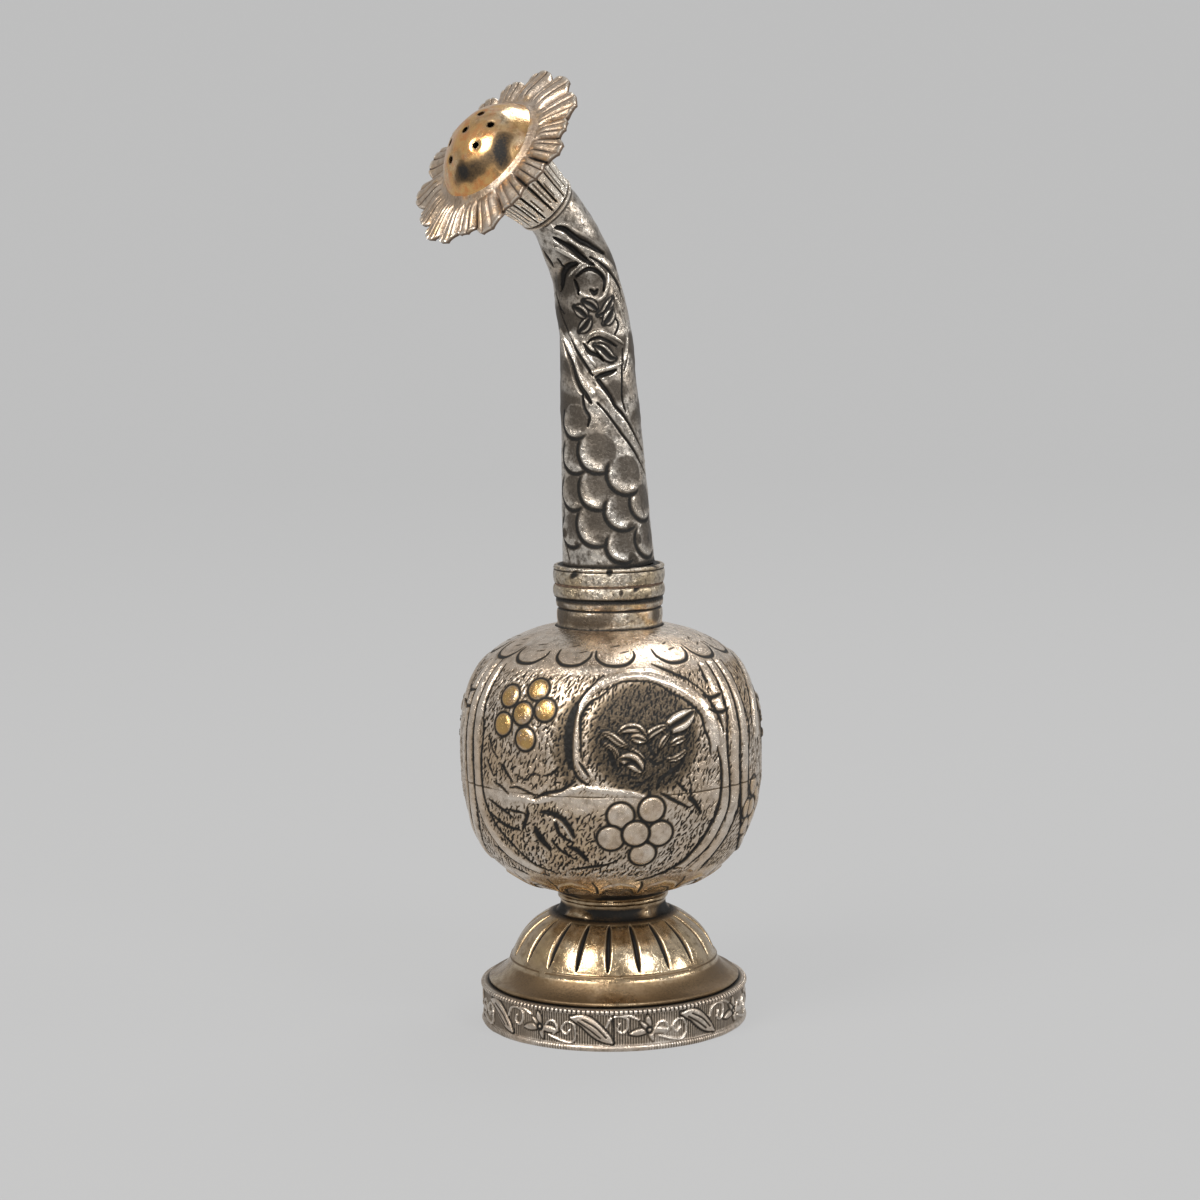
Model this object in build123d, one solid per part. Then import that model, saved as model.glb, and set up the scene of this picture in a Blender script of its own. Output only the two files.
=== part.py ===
from build123d import *

import os
from math import acos, cos, radians, sin

# A rosewater sprinkler raised from sheet silver: a footed bottle, and a leaning sprinkler spout
# that screws into its neck. Millimetres and degrees. The origin is the centre of the foot's
# underside, +Z is up, and the spout leans towards -Y.

# Shared sizes
solder_gap = 0.05
overrun = 2.0
full_turn = 360.0

# Foot hoop and its two applied wires
hoop_radius = 28.4
hoop_wall = 1.0
hoop_height = 8.9
hoop_lip_width = 2.9
hoop_lip_thickness = 0.9
rim_wire_width = 0.5
rim_wire_height = 1.3
bead_wire_width = 0.6
bead_wire_height = 1.1
wire_bevel_share = 0.3

# Foot dome: a flat flange, a hollow moulding and a gadrooned crown
flange_setback = 1.2
flange_thickness = 1.0
flange_seat_width = 1.9
moulding_height = 4.1
moulding_radius = 12.2
crown_radius = 22.2
crown_height = 10.1
crown_curve = 15.9
crown_top_radius = 12.4
dome_wall = 1.2
dome_opening_radius = 9.4
gadroon_count = 20
gadroon_depth = 0.75
gadroon_top_depth = 0.45
crown_share = (0.0, 0.3, 0.55, 0.8, 1.0)

# Stem collar
collar_height = 5.4
collar_waist_radius = 11.3
collar_waist_share = 0.4
collar_top_radius = 13.2

# Belly, in two raised shells soldered below its widest line
belly_radius = 32.5
belly_lower_half = 31.55
belly_upper_half = 27.03
belly_fullness = 2.7
belly_wall = 1.0
belly_seam_drop = 5.4
belly_top_step = 0.3
belly_opening_step = 0.8
belly_arc_share = (0.0, 0.25, 0.6, 1.0)
belly_bore_share = (0.0, 0.25, 0.42, 0.6, 0.8, 1.0)

# Ornament raised from the belly's sheet, in panels round it. Angles are measured from a panel's
# middle, and heights are shares of the belly's upper or lower half.
relief_height = 0.45
relief_root = 0.5
panel_count = 3
panel_angle = -41.7
frame_half_width = 28.0
frame_rib_width = 1.6
frame_corner_radius = 14.0
frame_top_share = 0.74
frame_bottom_share = 0.74
roundel_angle = 16.0
roundel_rise_share = 0.16
roundel_radius = 16.0
roundel_rib_width = 2.0
roundel_open_drop = 5.0
boss_radius = 2.2
upper_flower_angles = (-40.5, -27.5, -22.7, -32.5, -41.5, -30.3)
upper_flower_share = (0.533, 0.6, 0.456, 0.415, 0.319, 0.226)
lower_flower_angles = (6.2, 17.8, 12.0, 2.4, 21.5, 15.2)
lower_flower_share = (0.295, 0.262, 0.422, 0.45, 0.431, 0.57)

# Neck
neck_radius = 11.4
neck_wall = 1.0
neck_height = 6.2
neck_groove_height = 0.5
neck_groove_depth = 0.35
neck_groove_share = 0.6
mouth_ring_step = 0.6
mouth_ring_height = 2.75

# Screw joint, drawn as plain sleeves at the thread's crests
thread_radius = 8.6
thread_clearance = 0.1
thread_sleeve_wall = 1.2
thread_engagement = 5.0
washer_thickness = 0.4
washer_setback = 0.4
washer_clearance = 0.3
spout_ring_height = 3.8

# Spout tube: a leaning straight taper, then a bend that brings it to the head's axis
tube_base_radius = 9.95
tube_shoulder_radius = 7.85
tube_tip_radius = 5.95
tube_wall = 1.0
tube_run_height = 47.5
tube_run_lean = 2.7
tube_bend_height = 28.5
tube_bend_reach = 12.4
tube_bend_share = ((0.115, 0.26), (0.25, 0.5), (0.52, 0.735))
tube_width_share = ((0.0, 1.0), (0.28, 0.79), (0.5, 0.53), (0.75, 0.26), (1.0, 0.0))

# Head: calyx, petal collar and pierced rose, turned about an axis that looks up at this elevation
head_elevation = 36.0
calyx_rim_step = 0.65
calyx_top_radius = 10.3
calyx_length = 17.7
calyx_wall = 0.9
calyx_flute_count = 20
calyx_flute_radius = 0.45
calyx_flute_depth = 0.3
petal_angles = (3, 20, 37, 63, 90, 113, 135, 157, 180, 208, 231, 252, 269, 284, 301, 325, 344)
petal_reach_share = (0.97, 0.92, 1, 0.99, 1, 0.93, 0.93, 0.94, 0.97, 1, 0.95, 0.99, 0.99, 0.93, 1, 0.93, 0.92)
petal_radius = 22.0
petal_notch_depth = 2.5
petal_flat_step = 0.4
petal_drop = 2.2
petal_thickness = 0.9
petal_hole_step = 0.2
petal_flute_radius = 1.1
petal_flute_depth = 0.5
rose_radius = 11.8
rose_height = 7.4
rose_wall = 0.8
rose_bore_share = (0.0, 0.4, 0.7, 1.0)
rose_hole_radius = 0.75
rose_ring_angles = (21.0, 77.0, 139.0, 201.0, 252.0, 326.0)
rose_ring_tilts = (27.0, 21.0, 25.0, 25.0, 30.0, 26.0)

# Radii that follow the piece that each one seats on or lets pass
flange_radius = hoop_radius - flange_setback
neck_bore_radius = neck_radius - neck_wall
belly_top_radius = neck_radius + belly_top_step
belly_opening_radius = thread_radius + belly_opening_step
mouth_ring_radius = neck_radius + mouth_ring_step
washer_radius = mouth_ring_radius - washer_setback
calyx_rim_radius = tube_tip_radius + calyx_rim_step
petal_flat_radius = rose_radius + petal_flat_step
petal_hole_radius = calyx_top_radius - calyx_wall - petal_hole_step

# Heights of the stack, from the table up
flange_z = hoop_height
moulding_z = flange_z + flange_thickness
crown_z = moulding_z + moulding_height
collar_z = crown_z + crown_height
belly_z = collar_z + collar_height


def belly_height(radius, half, wall):
    """Height above the belly's middle of the curve that has this radius, a full, squarish oval."""
    share = radius / (belly_radius - wall)
    return (half - wall) * (1 - share**belly_fullness) ** (1 / belly_fullness)


belly_middle_z = belly_z + belly_height(collar_top_radius, belly_lower_half, 0)
belly_seam_z = belly_middle_z - belly_seam_drop
neck_z = belly_middle_z + belly_height(belly_top_radius, belly_upper_half, 0)
mouth_z = neck_z + neck_height
washer_z = mouth_z + mouth_ring_height
spout_ring_z = washer_z + washer_thickness
tube_z = spout_ring_z + spout_ring_height


def turned(*lines):
    """The solid turned about Z by an outline of radius and height."""
    return revolve(Plane.XZ * make_face(list(lines)), Axis.Z).solid()


def ring(inner, outer, low, high):
    """A plain turned ring."""
    return turned(Polyline((inner, low), (outer, low), (outer, high), (inner, high), close=True))


def wire_ring(inner, width, low, height):
    """A bevelled wire soldered round the hoop."""
    bevel = height * wire_bevel_share
    outer = inner + width
    corners = [(inner, low), (outer, low + bevel), (outer, low + height - bevel), (inner, low + height)]
    return turned(Polyline(*corners, close=True))


def around(tool, count):
    """Copies of one tool spaced evenly about Z."""
    return [Rot(0, 0, full_turn * k / count) * tool for k in range(count)]


def foot_hoop():
    """The upright hoop with an inturned lip that carries the dome."""
    bore = hoop_radius - hoop_wall
    lip = hoop_radius - hoop_lip_width
    under_lip = hoop_height - hoop_lip_thickness
    corners = [(bore, 0), (hoop_radius, 0), (hoop_radius, hoop_height), (lip, hoop_height)]
    corners += [(lip, under_lip), (bore, under_lip)]
    return turned(Polyline(*corners, close=True))


def crown_line():
    """The crown's outline, a round stretch from the moulding up to the collar."""
    return RadiusArc((crown_radius, crown_z), (crown_top_radius, collar_z), -crown_curve)


def gadroon_wire(place, depth):
    """One level of the crown: a ring of round lobes whose crests lie on the crown's outline."""
    crest = crown_line() @ place
    pitch = full_turn / gadroon_count
    arcs = []
    for k in range(gadroon_count):
        valley = Vector(crest.X - depth, 0, crest.Y).rotate(Axis.Z, pitch * k)
        top = Vector(crest.X, 0, crest.Y).rotate(Axis.Z, pitch * (k + 0.5))
        arcs.append(ThreePointArc(valley, top, valley.rotate(Axis.Z, pitch)))
    return make_face(arcs)


def foot_dome():
    """The flange, its hollow moulding and the gadrooned crown, raised from one sheet."""
    seat = flange_radius - flange_seat_width
    base = crown_radius - gadroon_depth
    flange = turned(
        Line((0, flange_z), (flange_radius, flange_z)),
        Line((flange_radius, flange_z), (flange_radius, moulding_z)),
        RadiusArc((flange_radius, moulding_z), (crown_radius, crown_z), moulding_radius),
        Line((crown_radius, crown_z), (0, crown_z)),
        Line((0, crown_z), (0, flange_z)),
    )
    fall = gadroon_depth - gadroon_top_depth
    crown = loft([gadroon_wire(place, gadroon_depth - fall * place) for place in crown_share], ruled=True)
    inside = [(0, flange_z), (seat, flange_z), (base - dome_wall, crown_z - dome_wall)]
    for place in crown_share[1:-1]:
        crest = crown_line() @ place
        inside.append((crest.X - gadroon_depth - dome_wall, crest.Y - dome_wall))
    inside += [(dome_opening_radius, collar_z - dome_wall), (dome_opening_radius, collar_z), (0, collar_z)]
    return (flange + crown - turned(Polyline(*inside, close=True))).solid()


def stem_collar():
    """The waisted collar between the foot and the belly."""
    waist = (collar_waist_radius, collar_z + collar_height * collar_waist_share)
    top = (collar_top_radius, belly_z)
    bore = dome_opening_radius
    return turned(
        ThreePointArc((crown_top_radius, collar_z), waist, top),
        Line(top, (bore, belly_z)),
        Line((bore, belly_z), (bore, collar_z)),
        Line((bore, collar_z), (crown_top_radius, collar_z)),
    )


def belly_points(wall, half, end_radius, upward, shares):
    """Points on the belly's oval, from its widest line to a given radius."""
    radius = belly_radius - wall
    last = acos((end_radius / radius) ** (belly_fullness / 2))
    points = []
    for share in shares:
        out = radius * cos(last * share) ** (2 / belly_fullness)
        rise = (half - wall) * sin(last * share) ** (2 / belly_fullness)
        points.append((out, belly_middle_z + upward * rise))
    return points


def belly_arcs(half, end_radius, upward, wall=0):
    """The belly's outer line, or one that lies a wall inside it, as arcs, each tangent to the last."""
    points = belly_points(wall, half, end_radius, upward, belly_arc_share)
    arcs = []
    tangent = (0, upward)
    for start, end in zip(points, points[1:]):
        arcs.append(TangentArc(start, end, tangent=tangent))
        tangent = arcs[-1] % 1
    return arcs


def belly_section():
    """Half the section through the whole belly, cut at its seam into two shells."""
    lower = belly_arcs(belly_lower_half, collar_top_radius, -1)
    upper = belly_arcs(belly_upper_half, belly_top_radius, 1)
    opening = belly_opening_radius
    above = belly_points(belly_wall, belly_upper_half, opening, 1, belly_bore_share)
    below = belly_points(belly_wall, belly_lower_half, collar_top_radius, -1, belly_bore_share)
    floor_z = belly_z + belly_wall
    return make_face([
        *lower,
        *upper,
        Line(upper[-1] @ 1, (opening, neck_z)),
        Line((opening, neck_z), above[-1]),
        Polyline(*reversed(above), *below[1:-1], (below[-1][0], floor_z)),
        Line((below[-1][0], floor_z), (0, floor_z)),
        Line((0, floor_z), (0, belly_z)),
        Line((0, belly_z), lower[-1] @ 1),
    ])


def belly_blank(wall):
    """The whole belly as a solid block whose side lies a wall inside its outer line."""
    lower = belly_arcs(belly_lower_half, collar_top_radius, -1, wall)
    upper = belly_arcs(belly_upper_half, belly_top_radius, 1, wall)
    top, bottom = upper[-1] @ 1, lower[-1] @ 1
    return turned(*lower, *upper, Polyline(top, (0, top.Y), (0, bottom.Y), bottom))


def panel_ribs():
    """The raised ribs of one panel, drawn on a plane in front of it and carried in to the axis."""
    width, deep = frame_half_width * 2, belly_upper_half + belly_lower_half
    low, top = belly_lower_half * frame_bottom_share, belly_upper_half * frame_top_share
    frame = RectangleRounded(width, deep * 2, frame_corner_radius)
    inside = frame_corner_radius - frame_rib_width
    frame -= RectangleRounded(width - frame_rib_width * 2, (deep - frame_rib_width) * 2, inside)
    frame = Pos(0, deep - low) * frame & Pos(0, top - deep) * Rectangle(width + overrun, deep * 2)
    roundel = Circle(roundel_radius) - Circle(roundel_radius - roundel_rib_width)
    roundel -= Pos(0, -roundel_radius - roundel_open_drop) * Rectangle(roundel_radius * 2, roundel_radius * 2)
    front = Plane((0, 0, belly_middle_z), x_dir=(0, 1, 0), z_dir=(1, 0, 0))
    reach = belly_radius + overrun
    roundel = extrude(front * Pos(0, belly_upper_half * roundel_rise_share) * roundel, reach)
    return [extrude(front * frame, reach), Rot(0, 0, roundel_angle) * roundel]


def boss(angle, rise):
    """One domed boss of a flower head, square to the belly's side and rooted in its wall."""
    upward = 1 if rise > 0 else -1
    half = belly_upper_half if rise > 0 else belly_lower_half
    share = upward * rise / half
    radius = belly_radius * (1 - share**belly_fullness) ** (1 / belly_fullness)
    out = (radius / belly_radius) ** (belly_fullness - 1) / belly_radius
    normal = Vector(out, 0, upward * share ** (belly_fullness - 1) / half)
    dome = turned(
        Line((0, -relief_root), (boss_radius, -relief_root)),
        Line((boss_radius, -relief_root), (boss_radius, 0)),
        TangentArc((0, relief_height), (boss_radius, 0), tangent=(1, 0)),
        Line((0, relief_height), (0, -relief_root)),
    )
    seat = Plane((radius, 0, belly_middle_z + rise), x_dir=(0, 1, 0), z_dir=normal)
    return Rot(0, 0, angle) * (seat * dome)


def flower_heads(upward):
    """The bosses of the flower heads above or below the seam, on every panel."""
    angles = upper_flower_angles if upward > 0 else lower_flower_angles
    shares = upper_flower_share if upward > 0 else lower_flower_share
    half = belly_upper_half if upward > 0 else belly_lower_half
    heads = []
    for k in range(panel_count):
        turn = panel_angle + full_turn * k / panel_count
        heads += [boss(turn + angle, upward * half * share) for angle, share in zip(angles, shares)]
    return heads


def belly_shell(upward):
    """The part of the belly above or below its seam, with its raised ornament."""
    depth = belly_lower_half + belly_upper_half
    middle = belly_seam_z + upward * depth / 2
    window = Pos(belly_radius / 2, middle) * Rectangle(belly_radius + overrun, depth)
    shell = revolve(Plane.XZ * (belly_section() & window), Axis.Z).solid()
    reach = (belly_radius + overrun) * 2
    half = Pos(0, 0, middle) * Box(reach, reach, depth)
    skin = (belly_blank(-relief_height) & half) - belly_blank(relief_root)
    ribs = []
    for k in range(panel_count):
        turn = panel_angle + full_turn * k / panel_count
        ribs += [skin & (Rot(0, 0, turn) * rib) for rib in panel_ribs()]
    return (shell + flower_heads(upward) + ribs).solid()


def neck_sleeve():
    """The neck's sleeve with one turned groove."""
    groove_low = neck_z + neck_height * neck_groove_share
    groove_high = groove_low + neck_groove_height
    groove = ring(neck_radius - neck_groove_depth, neck_radius + overrun, groove_low, groove_high)
    return ring(neck_bore_radius, neck_radius, neck_z, mouth_z) - groove


def tube_bend():
    """The bend's centre line, from the end of the straight taper to the head."""
    start = Vector(0, -tube_run_lean, tube_z + tube_run_height)
    points = [start]
    for out, up in (*tube_bend_share, (1.0, 1.0)):
        points.append(start + Vector(0, -tube_bend_reach * out, tube_bend_height * up))
    run = (0, -tube_run_lean, tube_run_height)
    head = (0, -cos(radians(head_elevation)), sin(radians(head_elevation)))
    return Spline(*points, tangents=[run, head])


def tube_form(wall, ruled):
    """The tube's outer form, or its bore when a wall is taken off the radius."""
    bend = tube_bend()
    sections = []
    for place, share in tube_width_share:
        radius = tube_tip_radius + (tube_shoulder_radius - tube_tip_radius) * share - wall
        plane = Plane(bend @ place, x_dir=(1, 0, 0), z_dir=bend % place)
        sections.append(plane * Circle(radius))
    length = Vector(0, tube_run_lean, tube_run_height).length
    taper = (tube_base_radius - tube_shoulder_radius) / length
    below = length + overrun
    base = tube_shoulder_radius + taper * below
    run = Cone(base - wall, tube_shoulder_radius - wall, below, align=(Align.CENTER, Align.CENTER, Align.MAX))
    run = Plane(bend @ 0, x_dir=(1, 0, 0), z_dir=bend % 0) * run
    reach = tube_base_radius * 2 + overrun
    above = Pos(0, 0, tube_z) * Box(reach, reach, below, align=(Align.CENTER, Align.CENTER, Align.MIN))
    return (run & above) + loft(sections, ruled=ruled)


def spout_tube():
    """The leaning tube, rolled from sheet, open at both ends."""
    return (tube_form(0, False) - tube_form(tube_wall, True)).solid()


def head_plane():
    """The plane of the tube's end, with its normal along the head's axis."""
    bend = tube_bend()
    return Plane(bend @ 1, x_dir=(1, 0, 0), z_dir=bend % 1)


def calyx_cup():
    """The fluted cup that carries the petals, in the head's own frame."""
    inner_rim = calyx_rim_radius - calyx_wall
    inner_top = calyx_top_radius - calyx_wall
    bore = tube_tip_radius - tube_wall
    corners = [(bore, 0), (calyx_rim_radius, 0), (calyx_top_radius, calyx_length)]
    corners += [(inner_top, calyx_length), (inner_rim, calyx_wall), (bore, calyx_wall)]
    body = turned(Polyline(*corners, close=True))
    lift = calyx_flute_radius - calyx_flute_depth
    start = Vector(calyx_rim_radius + lift, 0, calyx_wall)
    end = Vector(calyx_top_radius + lift, 0, calyx_length + overrun)
    along = Line(start, end)
    tool = sweep(Plane(start, z_dir=along % 0) * Circle(calyx_flute_radius), path=along)
    return body - around(tool, calyx_flute_count)


def petal_disc():
    """The saucer from which the petals are cut, its face falling away towards the tips."""
    back = calyx_length
    face = back + petal_thickness
    reach = petal_radius + overrun
    outline = [(petal_hole_radius, back), (petal_flat_radius, back), (reach, back - petal_drop)]
    outline += [(reach, face - petal_drop), (petal_flat_radius, face), (petal_hole_radius, face)]
    return turned(Polyline(*outline, close=True))


def petal_notches():
    """The notch before each petal, as an angle and a radius."""
    notches = []
    for k, angle in enumerate(petal_angles):
        before = petal_angles[k - 1] if k else petal_angles[-1] - full_turn
        reach = (petal_reach_share[k - 1] + petal_reach_share[k]) / 2
        notches.append(((before + angle) / 2, petal_radius * reach - petal_notch_depth))
    return notches


def petal_outline():
    """The collar's edge, one round-ended lobe for each petal."""
    notches = [Vector(radius, 0).rotate(Axis.Z, angle) for angle, radius in petal_notches()]
    arcs = []
    for k, (angle, share) in enumerate(zip(petal_angles, petal_reach_share)):
        tip = Vector(petal_radius * share, 0).rotate(Axis.Z, angle)
        arcs.append(ThreePointArc(notches[k], tip, notches[(k + 1) % len(notches)]))
    return make_face(arcs)


def petal_collar():
    """The ring of petals with a valley between each two."""
    bottom = calyx_length - petal_drop - overrun
    blank = Pos(0, 0, bottom) * extrude(petal_outline(), petal_drop + overrun * 2 + petal_thickness)
    face = calyx_length + petal_thickness
    lift = petal_flute_radius - petal_flute_depth
    start = Vector(petal_flat_radius, 0, face + petal_flute_radius)
    end = Vector(petal_radius, 0, face - petal_drop + lift)
    valley = Line(start, end + (end - start).normalized() * overrun)
    tool = sweep(Plane(start, z_dir=valley % 0) * Circle(petal_flute_radius), path=valley)
    return (petal_disc() & blank) - [Rot(0, 0, angle) * tool for angle, _ in petal_notches()]


def rose_dome():
    """The pierced dome, a thin round cap with one hole at its crown and a ring of others."""
    base = calyx_length + petal_thickness
    ball_radius = (rose_radius**2 + rose_height**2) / (2 * rose_height)
    middle = base + rose_height - ball_radius
    bore_radius = ball_radius - rose_wall
    rim_turn = acos((base - middle) / bore_radius)
    bore = [(0, base), (0, middle + bore_radius)]
    for share in rose_bore_share[1:]:
        bore.append((bore_radius * sin(rim_turn * share), middle + bore_radius * cos(rim_turn * share)))
    cap = Pos(0, 0, middle) * Sphere(ball_radius)
    depth = rose_height + overrun
    slab = Pos(0, 0, base + depth / 2) * Cylinder(rose_radius + overrun, depth)
    drill = Pos(0, 0, middle + ball_radius) * Cylinder(rose_hole_radius, ball_radius)
    drills = [drill]
    for angle, tilt in zip(rose_ring_angles, rose_ring_tilts):
        turn = Rot(0, 0, angle) * Rot(0, tilt, 0)
        drills.append(Pos(0, 0, middle) * turn * Pos(0, 0, -middle) * drill)
    return (cap & slab) - turned(Polyline(*bore, close=True)) - drills


def sprinkler():
    """Every piece in its place, by name."""
    thread_core = thread_radius - thread_clearance
    plug_bore = thread_core - thread_sleeve_wall
    plug_z = spout_ring_z - thread_engagement - washer_thickness
    washer_bore = thread_core + washer_clearance
    bush_radius = neck_bore_radius - solder_gap
    bead_z = hoop_height - bead_wire_height
    head = head_plane()
    return {
        "foot_hoop": foot_hoop(),
        "foot_rim_wire": wire_ring(hoop_radius, rim_wire_width, 0, rim_wire_height),
        "foot_bead_wire": wire_ring(hoop_radius, bead_wire_width, bead_z, bead_wire_height),
        "foot_dome": foot_dome(),
        "stem_collar": stem_collar(),
        "belly_lower_shell": belly_shell(-1),
        "belly_upper_shell": belly_shell(1),
        "neck_sleeve": neck_sleeve(),
        "mouth_ring": ring(neck_bore_radius, mouth_ring_radius, mouth_z, washer_z),
        "neck_thread_bush": ring(thread_radius, bush_radius, neck_z, washer_z),
        "sealing_washer": ring(washer_bore, washer_radius, washer_z, spout_ring_z),
        "spout_thread_plug": ring(plug_bore, thread_core, plug_z, spout_ring_z),
        "spout_ring": ring(plug_bore, mouth_ring_radius, spout_ring_z, tube_z),
        "spout_tube": spout_tube(),
        "calyx_cup": head * calyx_cup(),
        "petal_collar": head * petal_collar(),
        "rose_dome": head * rose_dome(),
    }


os.makedirs("parts", exist_ok=True)
for name, piece in sprinkler().items():
    export_step(piece, f"parts/{name}.step")
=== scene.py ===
"""A rosewater sprinkler: a footed, chased silver bottle and the leaning spout that screws into it."""

import logging
import math
from dataclasses import dataclass, field, replace
from enum import Enum
from typing import ClassVar

import bpy
import numpy as np
from mathutils import Matrix, Vector


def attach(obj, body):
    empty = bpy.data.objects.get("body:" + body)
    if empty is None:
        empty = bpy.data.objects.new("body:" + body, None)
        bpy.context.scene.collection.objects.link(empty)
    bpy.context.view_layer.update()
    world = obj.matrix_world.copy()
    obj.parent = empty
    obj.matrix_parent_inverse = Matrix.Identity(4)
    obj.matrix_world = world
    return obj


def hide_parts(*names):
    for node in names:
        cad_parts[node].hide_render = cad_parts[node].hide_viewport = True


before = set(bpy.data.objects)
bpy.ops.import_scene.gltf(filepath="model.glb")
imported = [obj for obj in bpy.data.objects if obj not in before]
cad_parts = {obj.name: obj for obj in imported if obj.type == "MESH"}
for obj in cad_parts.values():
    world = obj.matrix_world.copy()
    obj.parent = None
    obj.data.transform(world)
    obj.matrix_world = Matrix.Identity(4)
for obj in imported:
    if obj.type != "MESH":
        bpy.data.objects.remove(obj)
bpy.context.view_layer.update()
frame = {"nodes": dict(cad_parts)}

Array = np.ndarray
Colour = tuple[float, float, float]
Path = tuple[tuple[float, float], ...]
Piece = bpy.types.Object
Socket = bpy.types.NodeSocket

LOG = logging.getLogger("sprinkler")
MM = 0.001
FULL_TURN = 360.0
# The angle of the side that faces the camera, and the one at the back where a sheet's columns start
FRONT = -38.7
SEAM = 141.3
SHARP_EDGE = math.radians(62)
PLAIN_COLUMNS = 180
THREAD_PITCH = 1.5
THREAD_DEPTH = 0.42


class Ends(Enum):
    """How the width of a stroke runs along it."""

    EVEN = "even"
    POINTED = "pointed"
    TAIL = "tail"
    HEAD = "head"


class Mask(Enum):
    """What is stored on a sheet's points for its finish."""

    # oxide in the hollows, and in a few places painted shade: the low backs of the tube's scales, a valley
    # and a leaf's shadow in each roundel, a band under the mouth ring
    OXIDE = "oxide"
    RUB = "rub"
    GILT = "gilt"
    GROUND = "ground"


class Body(Enum):
    """The moving bodies that the pieces ride on."""

    BOTTLE = "bottle"
    SPOUT = "spout"


def ramp(low: float, high: float, value: Array) -> Array:
    """A smooth rise of each value, from 0 at the low mark to 1 at the high one."""
    share = np.clip((value - low) / (high - low), 0, 1)
    return share * share * (3 - 2 * share)


def bell(value: Array, middle: float, width: float) -> Array:
    """A soft peak of 1 at the middle, which dies away over the width."""
    return np.exp(-((value - middle) / width) ** 2)


def unit(vectors: Array) -> Array:
    """The same directions at length one."""
    return vectors / np.maximum(np.linalg.norm(vectors, axis=-1, keepdims=True), 1e-9)


def smooth_curve(path: Path, stretch: float, spacing: float = 0.12) -> Array:
    """A smooth curve through given points.

    Args:
        path: angle and length along, for each point.
        stretch: millimetres that one degree is wide.
        spacing: about how far apart the samples are.

    Returns:
        The samples, one row each.
    """
    points = np.array(path, float)
    padded = np.vstack([2 * points[0] - points[1], points, 2 * points[-1] - points[-2]])
    runs = []
    for before, start, end, after in zip(padded, padded[1:], padded[2:], padded[3:]):
        length = np.hypot((end[0] - start[0]) * stretch, end[1] - start[1])
        t = np.linspace(0, 1, max(3, int(length / spacing)), endpoint=False)[:, None]
        cubic = (3 * (start - end) + after - before) * t**3
        square = (2 * before - 5 * start + 4 * end - after) * t**2
        runs.append(0.5 * (2 * start + (end - before) * t + square + cubic))
    return np.vstack([*runs, points[-1:]])


def arc_points(start: tuple[float, float], end: tuple[float, float], sagitta: float, count: int) -> Array:
    """Points on a round stretch of an outline.

    Args:
        start: radius and height where it starts.
        end: radius and height where it ends.
        sagitta: how far it bulges to the right of its direction of travel.
        count: how many points.

    Returns:
        The points from start to end.
    """
    a, b = np.array(start, float), np.array(end, float)
    chord = np.linalg.norm(b - a)
    along = (b - a) / chord
    out = np.array([along[1], -along[0]])
    radius = (chord**2 / 4 + sagitta**2) / (2 * abs(sagitta))
    half = math.asin(min(1.0, chord / 2 / radius))
    turn = np.linspace(-half, half, count)[:, None]
    rise = radius * (np.cos(turn) - math.cos(half)) * math.copysign(1, sagitta)
    return (a + b) / 2 + along * radius * np.sin(turn) + out * rise


def profile(*arcs: tuple, skip: int = 0) -> Array:
    """An outline of round stretches, each but the first without this many of its first points."""
    return np.vstack([arc_points(*arc)[skip if k else 0 :] for k, arc in enumerate(arcs)])


def ripple(points: Array, size: float, seed: int, waves: int = 14) -> Array:
    """Soft unevenness, the same on each run.

    Args:
        points: places in millimetres.
        size: the size of its swells in millimetres.
        seed: which pattern.
        waves: how many waves it adds up.

    Returns:
        A value of about -1 to 1 for each point.
    """
    random = np.random.default_rng(seed)
    total = np.zeros(points.shape[:-1])
    for _ in range(waves):
        heading = unit(random.normal(size=3)) * random.uniform(0.6, 1.6) * math.pi / size
        total += np.sin(points @ heading + random.uniform(0, 2 * math.pi))
    return total / math.sqrt(waves * 1.5)


def blurred(values: Array, passes: int) -> Array:
    """Values spread over their neighbours, round the sheet and along it."""
    for _ in range(passes):
        values = (values + np.roll(values, 1, 1) + np.roll(values, -1, 1)) / 3
        padded = np.pad(values, ((1, 1), (0, 0)), mode="edge")
        values = (padded[:-2] + padded[1:-1] + padded[2:]) / 3
    return values


@dataclass(frozen=True)
class Stroke:
    """One line of the chaser's tool, or one form raised from behind.

    Args:
        path: angle in degrees and length along in millimetres, for each point.
        width: full width in millimetres.
        depth: how deep it is cut, or how high it is raised.
        ends: how its width runs.
    """

    path: Path
    width: float = 0.55
    depth: float = 0.3
    ends: Ends = Ends.POINTED

    def moved(self, turn: float, mirrored: bool = False) -> "Stroke":
        """The same stroke turned round the sheet, and flipped left to right first if it is mirrored."""
        sign = -1 if mirrored else 1
        return replace(self, path=tuple((turn + sign * angle, along) for angle, along in self.path))

    def share(self, place: Array) -> Array:
        """The share of the full width at each place from 0 to 1 along the stroke."""
        if self.ends is Ends.EVEN:
            return np.ones_like(place)
        if self.ends is Ends.TAIL:
            return 0.25 + 0.75 * np.sqrt(np.clip(1 - place, 0, 1))
        if self.ends is Ends.HEAD:
            return 0.25 + 0.75 * np.sqrt(np.clip(place, 0, 1))
        return 0.3 + 0.7 * np.sqrt(np.clip(np.sin(math.pi * place), 0, 1))


def strokes(*rows: tuple) -> tuple[Stroke, ...]:
    """Strokes from rows of path, width, depth and, where they aren't pointed, ends."""
    return tuple(Stroke(*row) for row in rows)


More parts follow.
